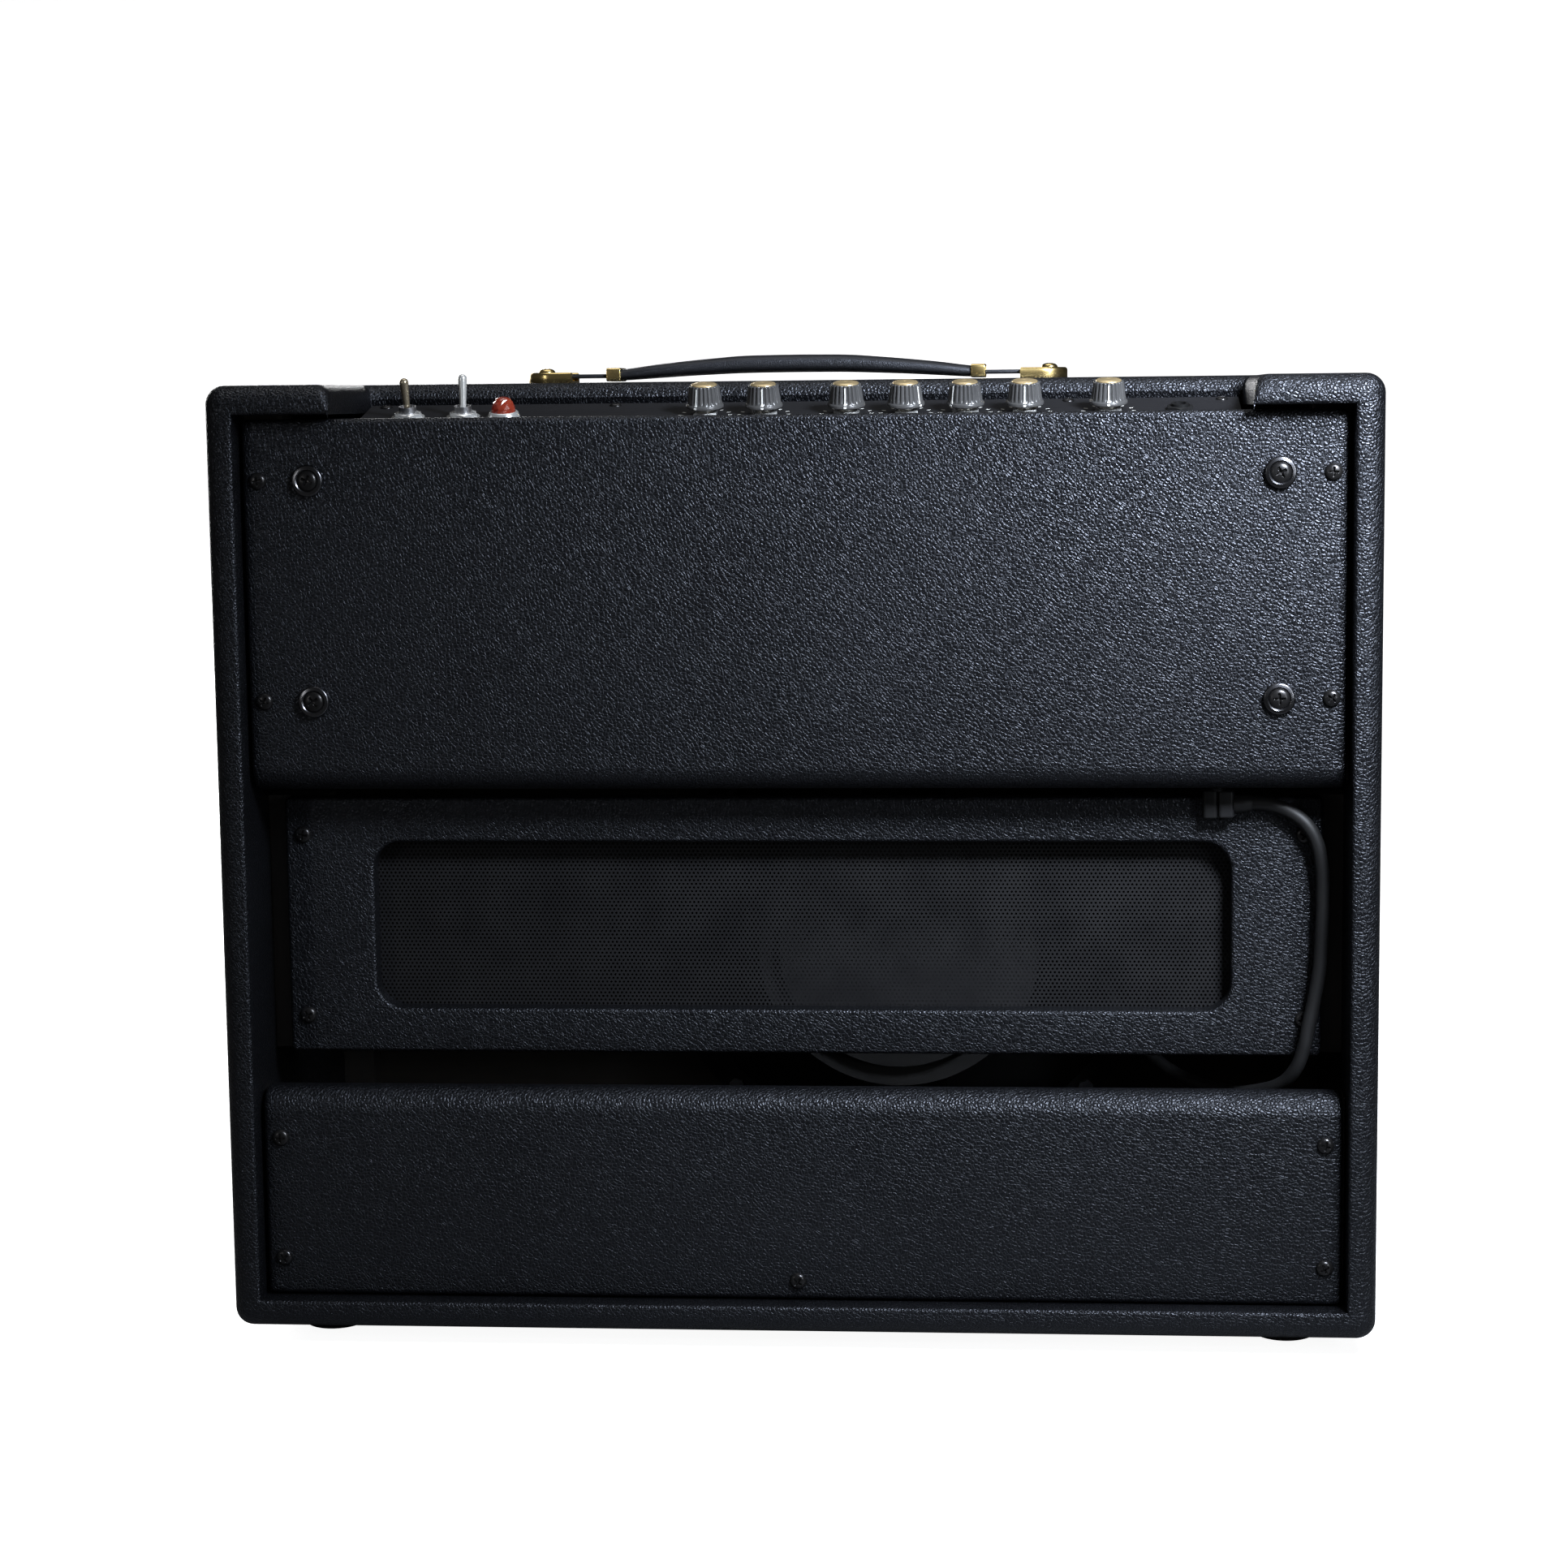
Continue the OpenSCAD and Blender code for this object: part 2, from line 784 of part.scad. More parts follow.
// laminated core with coil and mounting ears; w, h across the wall, d away from it
module transformer(w, h, d) {
    union() {
        box(-w / 2, w / 2, -h / 2, h / 2, 8, d - 14);
        box(-w / 2 + 10, w / 2 - 10, -h / 2 - 7, h / 2 + 7, 12, d - 18);
        box(-w / 2 + 3, w / 2 - 3, -h / 2 + 3, h / 2 - 3, d - 14.5, d);
        box(-w / 2 + 3, w / 2 - 3, -h / 2 + 3, h / 2 - 3, 0, 8.5);
        for (x = [-1, 1])
            for (y = [-1, 1])
                translate([x * (w / 2 - 6), y * (h / 2 - 6), 0])
                    cylinder(r = 2.5, h = d - 8, $fn = 24);
    }
}

module power_transformer() {
    color([0.16, 0.16, 0.17])
        toward_front(172, tube_z)
            transformer(92, 76, 74);
}

module output_transformer() {
    color([0.16, 0.16, 0.17])
        toward_front(-180, tube_z)
            transformer(70, 58, 58);
}

module filter_caps() {
    color([0.2, 0.25, 0.5])
        for (i = [0 : 2])
            translate([120 - i * 30, wall_y + sheet, tray_z0 + 38])
                rotate([-90, 0, 0])
                    union() {
                        cylinder(r = 12, h = 44, $fn = 40);
                        translate([0, 0, 43])
                            cylinder(r = 10.5, h = 3, $fn = 40);
                    }
}

// board on spacers with a row of round components
module circuit_board() {
    y = wall_y + sheet + 8;
    color([0.3, 0.24, 0.12])
        union() {
            box(-200, 40, y, y + 2, tray_z0 + 20, tray_z0 + 72);
            for (x = [-190, -80, 30])
                for (z = [26, 66])
                    hole_y(x, tray_z0 + z, 3, wall_y + sheet, y + 1);
            for (i = [0 : 8])
                translate([-178 + i * 24, y + 1, tray_z0 + 34])
                    union() {
                        translate([0, 5, 0])
                            cylinder(r = 4, h = 22, $fn = 24);
                        box(-1, 1, 0, 5, -3, 25);
                    }
        }
}

// ---------- controls ----------
module pots() {
    color([0.62, 0.6, 0.55])
        for (x = knob_x)
            on_plate(x)
                difference() {
                    union() {
                        translate([0, 0, -14.7])
                            cylinder(r = 12, h = 12, $fn = 48);
                        translate([0, 0, -4])
                            cylinder(r = bush_r, h = 7.5, $fn = 40);
                        box(-7, 7, -18, 0, -13, -11.5);
                    }
                    translate([0, 0, -12])
                        cylinder(r = shaft_r + 0.05, h = 20, $fn = 40);
                }
}

module nut(r, bore, h) {
    difference() {
        cylinder(r = r, h = h, $fn = 6);
        translate([0, 0, -1])
            cylinder(r = bore, h = h + 2, $fn = 40);
    }
}

module control_nuts() {
    color([0.78, 0.78, 0.76])
        union() {
            for (x = knob_x)
                on_plate(x)
                    nut(7, bush_r + 0.02, 2);
            for (x = bat_x)
                on_plate(x)
                    union() {
                        difference() {
                            cylinder(r = 8.9, h = 0.8, $fn = 48);
                            translate([0, 0, -1])
                                cylinder(r = 6.02, h = 4, $fn = 40);
                        }
                        translate([0, 0, 0.8])
                            nut(8.2, 6.02, 2);
                    }
            on_plate(jack_x)
                nut(7.6, bush_r + 0.02, 2.4);
            translate([jack_out_x, jack_y, tray_z0 - 2.4])
                nut(7.6, bush_r + 0.02, 2.4);
        }
}

// jack socket: box behind the sheet, threaded bush through it; seat is the sheet's inner face
module jack_body(seat, out) {
    difference() {
        union() {
            box(-9, 9, -7, 7, seat - 19, seat);
            translate([0, 0, seat - 1])
                cylinder(r = bush_r, h = out - seat + 1, $fn = 40);
        }
        translate([0, 0, seat - 17])
            cylinder(r = jack_bore_r, h = 40, $fn = 32);
    }
}

module jacks() {
    color([0.1, 0.1, 0.1])
        union() {
            on_plate(jack_x)
                jack_body(-2.7, 3.6);
            translate([jack_out_x, jack_y, tray_z0])
                rotate([180, 0, 0])
                    jack_body(-sheet, 3.4);
        }
}

module switch_bodies() {
    color([0.5, 0.5, 0.5])
        for (x = bat_x)
            on_plate(x)
                difference() {
                    union() {
                        box(-7, 7, -14, 14, -22, -2.8);
                        translate([0, 0, -3])
                            cylinder(r = 6, h = 5.8, $fn = 40);
                        translate([0, 0, 2])
                            cylinder(r = 4.6, h = 4.2, $fn = 40);
                        for (y = [-9, 0, 9])
                            box(-3, 3, y - 0.5, y + 0.5, -30, -21);
                    }
                    translate([0, 0, -6])
                        cylinder(r = 3.2, h = 9, $fn = 32);
                    translate([0, 0, 2.9])
                        cylinder(r1 = 3.2, r2 = 3.9, h = 3.6, $fn = 32);
                }
}

// lever with its pivot ball and cross pin, centred on the plate's pivot point
module bat() {
    union() {
        sphere(r = 2.9, $fn = 32);
        rotate([0, 90, 0])
            cylinder(r = 0.9, h = 6.2, center = true, $fn = 24);
        translate([0, 0, 1])
            cylinder(r1 = 1.5, r2 = 2.4, h = bat_l - 3.5, $fn = 32);
        translate([0, 0, bat_l - 2.5])
            sphere(r = 2.4, $fn = 32);
    }
}

module toggle_bat_1() {
    color([0.85, 0.85, 0.84])
        on_plate(bat_x[0])
            rotate([-bat_swing, 0, 0])
                bat();
}

module toggle_bat_2() {
    color([0.85, 0.85, 0.84])
        on_plate(bat_x[1])
            rotate([bat_swing, 0, 0])
                bat();
}

module lamp_bezel() {
    color([0.78, 0.78, 0.76])
        on_plate(lamp_x)
            difference() {
                union() {
                    cylinder(r = 8.4, h = 3, $fn = 48);
                    translate([0, 0, -24])
                        cylinder(r = 6, h = 25, $fn = 40);
                }
                translate([0, 0, -22])
                    cylinder(r = 4.9, h = 30, $fn = 40);
            }
}

module lamp_jewel() {
    color([0.8, 0.05, 0.03])
        on_plate(lamp_x)
            union() {
                translate([0, 0, -2])
                    cylinder(r = 4.8, h = 6, $fn = 40);
                translate([0, 0, 3.02])
                    cylinder(r1 = 6.5, r2 = 6.5, h = 3, $fn = 40);
                translate([0, 0, 6])
                    cylinder(r1 = 6.5, r2 = 2.5, h = 4.5, $fn = 40);
            }
}

// fluted knob with its shaft, hollow under the skirt to clear the nut
module knob(x) {
    on_plate(x)
        union() {
            difference() {
                translate([0, 0, 4])
                    union() {
                        cylinder(r = knob_d / 2, h = 2, $fn = 48);
                        translate([0, 0, 2])
                            cylinder(r1 = knob_d / 2 - 0.6, r2 = knob_top_d / 2, h = knob_h - 6, $fn = 48);
                    }
                translate([0, 0, 3])
                    cylinder(r = 7.6, h = 3, $fn = 32);
                for (a = [15 : 30 : 345])
                    rotate([0, 0, a])
                        translate([knob_d / 2 + 0.3, 0, 6.2])
                            rotate([0, -7, 0])
                                cylinder(r = 1.5, h = knob_h, $fn = 16);
                translate([0, 0, knob_h - 0.8])
                    cylinder(r = knob_top_d / 2 - 1.2, h = 3, $fn = 40);
            }
            translate([0, 0, -11])
                cylinder(r = shaft_r, h = knob_h + 8, $fn = 40);
        }
}

module knob_cap(x) {
    on_plate(x)
        translate([0, 0, knob_h - 0.8])
            union() {
                cylinder(r = knob_top_d / 2 - 1.25, h = 1, $fn = 48);
                translate([0, 0, 1])
                    cylinder(r1 = knob_top_d / 2 - 1.25, r2 = knob_top_d / 2 - 3, h = 0.9, $fn = 48);
            }
}

module knob_1() {
    color([0.06, 0.06, 0.06])
        knob(knob_x[0]);
}

module knob_2() {
    color([0.06, 0.06, 0.06])
        knob(knob_x[1]);
}

module knob_3() {
    color([0.06, 0.06, 0.06])
        knob(knob_x[2]);
}

module knob_4() {
    color([0.06, 0.06, 0.06])
        knob(knob_x[3]);
}

module knob_5() {
    color([0.06, 0.06, 0.06])
        knob(knob_x[4]);
}

module knob_6() {
    color([0.06, 0.06, 0.06])
        knob(knob_x[5]);
}

module knob_7() {
    color([0.06, 0.06, 0.06])
        knob(knob_x[6]);
}

module knob_cap_1() {
    color([0.75, 0.6, 0.3])
        knob_cap(knob_x[0]);
}

module knob_cap_2() {
    color([0.75, 0.6, 0.3])
        knob_cap(knob_x[1]);
}

module knob_cap_3() {
    color([0.75, 0.6, 0.3])
        knob_cap(knob_x[2]);
}

module knob_cap_4() {
    color([0.75, 0.6, 0.3])
        knob_cap(knob_x[3]);
}

module knob_cap_5() {
    color([0.75, 0.6, 0.3])
        knob_cap(knob_x[4]);
}

module knob_cap_6() {
    color([0.75, 0.6, 0.3])
        knob_cap(knob_x[5]);
}

module knob_cap_7() {
    color([0.75, 0.6, 0.3])
        knob_cap(knob_x[6]);
}

// ---------- cable ----------
// flat right-angle plug: body, collar and the pin up in the jack
module cable_plug() {
    zc = 290 + ZD;
    color([0.08, 0.08, 0.08])
        translate([jack_out_x, jack_y, zc])
            union() {
                box(-9, 7.5, -4.5, 4.5, -7.5, 8);
                translate([0, 0, 7])
                    cylinder(r = 4.4, h = tray_z0 - zc - 3.6 - 7, $fn = 32);
                translate([0, 0, 7])
                    cylinder(r = 3.12, h = tray_z0 - zc + 6, $fn = 32);
            }
}

function unit(v) = v / norm(v);
function tangent(p, i) =
    i == 0 ? unit(p[1] - p[0]) :
    i == len(p) - 1 ? unit(p[i] - p[i - 1]) :
    unit(p[i + 1] - p[i - 1]);
function side_of(t) = abs(t[1]) > 0.9 ? unit(cross(t, [0, 0, 1])) : unit(cross(t, [0, 1, 0]));

// carries the first ring's side vector along, so that the tube does not twist
function carry(p, i) =
    i == 0 ? side_of(tangent(p, 0)) :
    let (s = carry(p, i - 1), t = tangent(p, i)) unit(s - (s * t) * t);

module tube(p, r, n = 10) {
    rings = [
        for (i = [0 : len(p) - 1])
            let (t = tangent(p, i), s = carry(p, i), u = cross(t, s))
                for (k = [0 : n - 1])
                    p[i] + r * (cos(360 * k / n) * s + sin(360 * k / n) * u)
    ];
    walls = [
        for (i = [0 : len(p) - 2])
            for (k = [0 : n - 1])
                [i * n + k, i * n + (k + 1) % n, (i + 1) * n + (k + 1) % n, (i + 1) * n + k]
    ];
    ends = [
        [for (k = [n - 1 : -1 : 0]) k],
        [for (k = [0 : n - 1]) (len(p) - 1) * n + k]
    ];
    faces = concat(walls, ends);
    polyhedron(points = rings, faces = [for (f = faces) [for (j = [len(f) - 1 : -1 : 0]) f[j]]]);
}

module speaker_cable() {
    color([0.05, 0.05, 0.05])
        tube(CABLE, cable_d / 2);
}

// strain relief bush for a mains cord
module mains_gland() {
    color([0.07, 0.07, 0.07])
        translate([gland_x, jack_y, tray_z0])
            difference() {
                union() {
                    translate([0, 0, -9])
                        cylinder(r1 = 5.2, r2 = 6.6, h = 9, $fn = 40);
                    translate([0, 0, -0.5])
                        cylinder(r = 5.4, h = 8, $fn = 40);
                }
                translate([0, 0, -10])
                    cylinder(r = 3.6, h = 20, $fn = 32);
            }
}

// ---------- handle ----------
module on_top() {
    translate([handle_x, rear_y - handle_in, top_z])
        children();
}

// brass plate, hollow at its inner end where the strap is pinned
module handle_plates() {
    m = handle_l / 2 - 26;
    color([0.78, 0.6, 0.28])
        on_top()
            both_sides()
                difference() {
                    union() {
                        box(m, handle_l / 2 - 14, -14, 14, 0, 5.8);
                        translate([handle_l / 2 - 14, 0, 0])
                            intersection() {
                                cylinder(r = 14, h = 5.8, $fn = 48);
                                box(-1, 20, -20, 20, -1, 9);
                            }
                    }
                    box(m - 1, m + 7, -10.8, 10.8, 1, 7);
                    translate([handle_l / 2 - handle_screw_in, 0, -1])
                        cylinder(r = pass_r, h = 9, $fn = 24);
                }
}

module handle_screws() {
    color([0.78, 0.6, 0.28])
        on_top()
            both_sides()
                translate([handle_l / 2 - handle_screw_in, 0, 5.8])
                    pan_screw(19);
}

// flat strap, pinned in the plate at its outer end and loose in the ferrule at its inner end
module strap() {
    p = handle_l / 2 - handle_pin_in;
    union() {
        translate([p, 10.6, 3.6])
            rotate([90, 0, 0])
                cylinder(r = 1.3, h = 21.2, $fn = 24);
        box(p - 28, p, -10, 10, 2.5, 4.7);
    }
}

module handle_strap_1() {
    color([0.06, 0.06, 0.06])
        on_top()
            strap();
}

module handle_strap_2() {
    color([0.06, 0.06, 0.06])
        on_top()
            mirror([1, 0, 0])
                strap();
}

// flat ferrules between the straps and the grip
module handle_loops() {
    x = handle_l / 2 - 45;
    color([0.7, 0.56, 0.3])
        on_top()
            both_sides()
                difference() {
                    box(x - 8, x, -12.5, 12.5, 0.6, 8);
                    box(x - 9, x + 1, -11, 11, 1.4, 7.2);
                }
}

// moulded grip: an arch, thick in the middle and drawn down to the ferrules
module handle_grip() {
    // half length, height of the top and radius of the rounding at each station
    st = [[0, handle_h, 5], [36, handle_h - 0.4, 5], [66, handle_h - 3.2, 4], [handle_l / 2 - 56, 8, 3]];
    color([0.06, 0.06, 0.06])
        on_top()
            both_sides()
                union() {
                    for (i = [0 : 2])
                        hull()
                            for (k = [i, i + 1])
                                for (y = [-1, 1])
                                    translate([st[k][0], y * (13 - st[k][2]), st[k][1] - st[k][2]])
                                        sphere(r = st[k][2], $fn = 24);
                    box(handle_l / 2 - 62, handle_l / 2 - 53, -12.5, 12.5, 0.6, 7);
                }
}

cabinet_shell();
cleats();
baffle_board();
grille_frame();
grille_cloth();
grille_piping();
upper_rear_panel();
lower_rear_panel();
inner_panel();
mesh_screen();
feet();
panel_screws();
chassis_bolts();
cup_washers();
speaker_basket();
speaker_magnet();
speaker_cone();
dust_cap();
speaker_screws();
speaker_terminals();
chassis_tray();
control_plate();
power_transformer();
output_transformer();
tube_sockets();
small_tubes();
power_tubes();
filter_caps();
circuit_board();
pots();
control_nuts();
jacks();
switch_bodies();
toggle_bat_1();
toggle_bat_2();
lamp_bezel();
lamp_jewel();
cable_plug();
speaker_cable();
mains_gland();
handle_plates();
handle_screws();
handle_strap_1();
handle_strap_2();
handle_loops();
handle_grip();
knob_1();
knob_2();
knob_3();
knob_4();
knob_5();
knob_6();
knob_7();
knob_cap_1();
knob_cap_2();
knob_cap_3();
knob_cap_4();
knob_cap_5();
knob_cap_6();
knob_cap_7();
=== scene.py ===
# %% [markdown]
# # A guitar amplifier combo, dressed from its measured frame
# The amplifier is a wooden cabinet covered in pebble-grain vinyl. Its controls sit in a recess
# at the top of the rear, and screwed panels close the back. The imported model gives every
# piece its place and size. This script gives the pieces their real surfaces and finishes.

# %% Load the frame
import math

import bmesh
import bpy
import numpy as np
from mathutils import Matrix, Vector


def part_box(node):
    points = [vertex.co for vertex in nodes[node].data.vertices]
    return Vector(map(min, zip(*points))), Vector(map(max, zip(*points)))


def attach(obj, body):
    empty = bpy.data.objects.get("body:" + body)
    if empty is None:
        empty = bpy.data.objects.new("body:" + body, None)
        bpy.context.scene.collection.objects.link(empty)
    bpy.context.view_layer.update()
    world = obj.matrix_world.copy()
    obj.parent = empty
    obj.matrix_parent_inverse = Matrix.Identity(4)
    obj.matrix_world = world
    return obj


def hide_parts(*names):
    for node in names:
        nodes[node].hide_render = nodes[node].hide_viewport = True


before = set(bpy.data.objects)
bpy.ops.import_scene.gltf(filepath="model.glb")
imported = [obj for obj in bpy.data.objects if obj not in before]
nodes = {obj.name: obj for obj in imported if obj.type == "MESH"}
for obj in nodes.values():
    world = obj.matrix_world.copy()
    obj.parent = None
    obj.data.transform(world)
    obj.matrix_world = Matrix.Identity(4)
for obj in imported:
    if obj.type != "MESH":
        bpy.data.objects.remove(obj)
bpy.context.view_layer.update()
MM = 0.001


def span(node):
    """The low and high corners of a CAD node as two numpy arrays, in metres."""
    low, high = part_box(node)
    return np.array(low), np.array(high)


def middle(node):
    """The middle of a CAD node's box."""
    return sum(span(node)) / 2


shell_low, shell_high = span("cabinet_shell")
_, front_y, base_z = shell_low
half_width, rear_y, top_z = shell_high
print("cabinet box, mm:", (shell_low / MM).round(1), (shell_high / MM).round(1))

# %% [markdown]
# ## Camera and light
# The camera stands behind the amplifier, a little to its right and level with its top, so the
# controls are seen almost edge-on. One soft light high on the right rakes over the covering
# and gives it its glints. Two upright strips stand at the controls' own height, because that
# is what the upright levers and knobs mirror. A dim pale room fills in the rest.

# %% Camera
camera_spot = Vector((-0.1438, rear_y + 1.608, base_z + 0.4935))
turn, dip, roll = math.radians(4.55), math.radians(7.05), math.radians(-0.62)
camera_data = bpy.data.cameras.new("camera")
camera_data.lens = 71.88
camera_data.shift_x = -0.0232
camera_data.shift_y = 0.0015
camera = bpy.data.objects.new("camera", camera_data)
facing = Matrix.Rotation(math.pi + turn, 4, "Z") @ Matrix.Rotation(math.pi / 2 - dip, 4, "X")
camera.matrix_world = Matrix.Translation(camera_spot) @ facing @ Matrix.Rotation(roll, 4, "Z")
bpy.context.scene.collection.objects.link(camera)
bpy.context.scene.camera = camera
bpy.context.scene.view_settings.view_transform = "Standard"
print("camera", [round(v, 3) for v in camera_spot])

# %% Lights and room
# Each row: name, place, aim, width and height in metres, watts, tint and beam in degrees.
WHITE = (1, 1, 1)
for name, spot, aim, size, watts, tint, beam in (
    ("key", (-0.54, 0.68, 0.92), (-0.32, 0.12, 0.49), (0.22, 0.22), 6.6, (0.82, 0.89, 1), 78),
    ("right strip", (-1.1, 1.3, 0.6), (-0.1, 0.1, 0.45), (0.1, 0.5), 2.5, (0.88, 0.94, 1), 180),
    ("left strip", (1.05, 1.3, 0.66), (0.1, 0.1, 0.45), (0.05, 0.4), 1, WHITE, 180),
    ("top", (0.1, -0.2, 2.4), (0, 0, 0.4), (1.6, 1.2), 10, WHITE, 180),
    ("front", (1.1, -2.2, 0.75), (0, 0, 0.3), (1.4, 0.9), 34, WHITE, 180),
):
    data = bpy.data.lights.new(name, "AREA")
    data.shape = "RECTANGLE"
    data.size, data.size_y = size
    data.energy, data.color, data.spread = watts, tint, math.radians(beam)
    light = bpy.data.objects.new(name, data)
    light.location = spot
    light.rotation_euler = (Vector(aim) - Vector(spot)).to_track_quat("-Z", "Y").to_euler()
    bpy.context.scene.collection.objects.link(light)

world = bpy.data.worlds.new("room")
world.use_nodes = True
room = world.node_tree.nodes["Background"]
room.inputs["Color"].default_value = (1.0, 1.0, 1.0, 1)
# seen directly the room is white, and as a light it is dim, so black vinyl stays black
ray = world.node_tree.nodes.new("ShaderNodeLightPath")
level = world.node_tree.nodes.new("ShaderNodeMapRange")
level.inputs["To Min"].default_value = 0.035
level.inputs["To Max"].default_value = 1.0
world.node_tree.links.new(ray.outputs["Is Camera Ray"], level.inputs["Value"])
world.node_tree.links.new(level.outputs["Result"], room.inputs["Strength"])
bpy.context.scene.world = world

# %% [markdown]
# ## Making surfaces with numpy
# Every new piece is a grid of points worked out as whole arrays. A row of the grid is a
# closed loop, such as a rounded rectangle or a circle, and the rows are stations that the
# loop passes through. Joining neighbouring rows with four-sided faces gives the skin.


# %% Grid helpers
def turns(count):
    """That many angles evenly round the circle, from 0."""
    return np.linspace(0, 2 * math.pi, count, endpoint=False)


def skin(rows, loop=True, ring=False, caps=True):
    """Points P[station, place] become quads between stations; loop closes each row,
    ring joins the last station to the first, and caps fill the two end rows."""
    rows = np.asarray(rows, float)
    count, places = rows.shape[:2]
    a = np.arange(count if ring else count - 1)[:, None]
    b = np.arange(places if loop else places - 1)[None, :]
    a2, b2 = (a + 1) % count, (b + 1) % places
    quads = np.stack([a * places + b, a * places + b2, a2 * places + b2, a2 * places + b], -1)
    faces = quads.reshape(-1, 4).tolist()
    if caps and not ring and loop:
        faces.append(list(range(places))[::-1])
        faces.append(list(range((count - 1) * places, count * places)))
    return rows.reshape(-1, 3), faces


def join(parts):
    """Puts several (points, faces) pairs into one, moving each part's face numbers up."""
    points, faces, start = [], [], 0
    for p, f in parts:
        points.append(p)
        faces += [[i + start for i in face] for face in f]
        start += len(p)
    return np.concatenate(points), faces


def corner_loop(width, height, radii, inset=0.0, steps=8):
    """A rounded rectangle round the origin, anticlockwise from its upper right corner. Each
    corner is a quarter circle; radii is one radius or four, and an inset moves the whole
    line inwards."""
    radii = np.broadcast_to(radii, 4)
    a, b = width / 2 - inset, height / 2 - inset
    out = []
    for k, (sx, sy) in enumerate(((1, 1), (-1, 1), (-1, -1), (1, -1))):
        r = max(radii[k] - inset, 0.0)
        angle = np.linspace(k * math.pi / 2, (k + 1) * math.pi / 2, steps + 1)
        x, y = sx * (a - r) + r * np.cos(angle), sy * (b - r) + r * np.sin(angle)
        out.append(np.stack([x, y], -1))
    return np.concatenate(out)


def lathe(profile, segments=48, ring=False):
    """Turns a profile of (radius, height) pairs round the Z axis: (r cos t, r sin t, h).
    A ring's profile goes once round its section."""
    profile = np.asarray(profile, float)
    t = turns(segments)
    r, h = profile[:, :1], profile[:, 1:]
    rows = np.stack([r * np.cos(t), r * np.sin(t), np.repeat(h, segments, 1)], -1)
    return skin(rows, ring=ring)


def arc(radius, middle, start, stop, steps=6):
    """Points of a profile's round corner: middle + radius (cos a, sin a), in degrees."""
    a = np.radians(np.linspace(start, stop, steps + 1))
    return [(middle[0] + radius * math.cos(v), middle[1] + radius * math.sin(v)) for v in a]


def place(part, spot, axis=(0, 0, 1), spin=0.0):
    """Turns a part's Z axis to axis, spins it about that axis and moves it to spot."""
    points, faces = part
    turned = Vector((0, 0, 1)).rotation_difference(Vector(axis)).to_matrix()
    m = np.array(turned @ Matrix.Rotation(spin, 3, "Z"))
    return points @ m.T + np.array(spot), faces


def along(line, inset_r, steps=5):
    """Stations of a bar with rounded ends: pairs of place and inset, a quarter circle of
    radius inset_r at each end of line = (start, end)."""
    q = np.radians(np.linspace(0, 90, steps + 1))
    ins = inset_r * (1 - np.sin(q))
    pos = inset_r * (1 - np.cos(q))
    ends = [(line[0] + p, i) for p, i in zip(pos, ins)]
    return ends + [(line[1] - p, i) for p, i in zip(pos[::-1], ins[::-1])]


def mesh_object(name, part, material):
    """A smooth mesh object of a part's points and faces, in the scene."""
    points, faces = part
    mesh = bpy.data.meshes.new(name)
    mesh.from_pydata(points.tolist(), [], faces)
    mesh.polygons.foreach_set("use_smooth", np.ones(len(faces), bool))
    mesh.materials.append(material)
    thing = bpy.data.objects.new(name, mesh)
    bpy.context.scene.collection.objects.link(thing)
    return thing


def piece(name, part, body, material, replaces=(), sharp=38):
    """Makes the mesh object with its finish, rounds its shading below the sharp angle, parents it
    to the empty of the body that carries it and hides the CAD nodes it stands for. A list of
    parts becomes one piece."""
    thing = mesh_object(name, join(part) if isinstance(part, list) else part, material)
    mesh = thing.data
    work = bmesh.new()
    work.from_mesh(mesh)
    bmesh.ops.remove_doubles(work, verts=work.verts, dist=2e-6)
    bmesh.ops.dissolve_degenerate(work, edges=work.edges, dist=1e-7)
    bmesh.ops.recalc_face_normals(work, faces=work.faces)
    work.to_mesh(mesh)
    work.free()
    mesh.set_sharp_from_angle(angle=math.radians(sharp))
    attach(thing, body)
    if replaces:
        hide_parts(*replaces)
    return thing


# %% [markdown]
# ## Finishes
# Each finish is a Principled shader with noise and cell patterns on the object's own
# coordinates. Effects that several finishes share, such as the vinyl's pebble grain and the
# fine handling dust, are node groups with named sockets, so each finish sets its own values.


# %% Node helpers
def connect(tree, socket, value):
    """Links another node's output to the socket, or sets the socket to a plain value. A
    colour may be three numbers, and is opaque then."""
    if isinstance(value, bpy.types.NodeSocket):
        tree.links.new(value, socket)
    else:
        socket.default_value = (*value, 1)[:4] if socket.type == "RGBA" else value


def feed(tree, node, **values):
    """Sets a node's properties and connects its inputs by name, with _ for a space."""
    for key, value in values.items():
        if hasattr(node, key):
            setattr(node, key, value)
        else:
            connect(tree, node.inputs[key.replace("_", " ")], value)


def add_node(tree, kind, *inputs, **values):
    """A node of that kind, fed with values. The plain inputs fill its sockets in order."""
    made = tree.nodes.new(kind)
    feed(tree, made, **values)
    for socket, value in zip(made.inputs, inputs):
        connect(tree, socket, value)
    return made


def object_place(tree):
    """Coordinates fixed to the object, in metres."""
    return add_node(tree, "ShaderNodeTexCoord").outputs["Object"]


def vector_node(tree, operation, *inputs, **values):
    """One Vector Math node. Returns its output."""
    made = add_node(tree, "ShaderNodeVectorMath", *inputs, operation=operation, **values)
    return made.outputs[0]


def math_node(tree, operation, *inputs, clamp=False):
    """One Math node of sockets or plain numbers. Returns its output."""
    made = add_node(tree, "ShaderNodeMath", *inputs, operation=operation, use_clamp=clamp)
    return made.outputs[0]


def noise(tree, vector, scale, detail=2.0, output="Fac"):
    """One Noise Texture node. Returns its output."""
    made = add_node(tree, "ShaderNodeTexNoise", Vector=vector, Scale=scale, Detail=detail)
    return made.outputs[output]


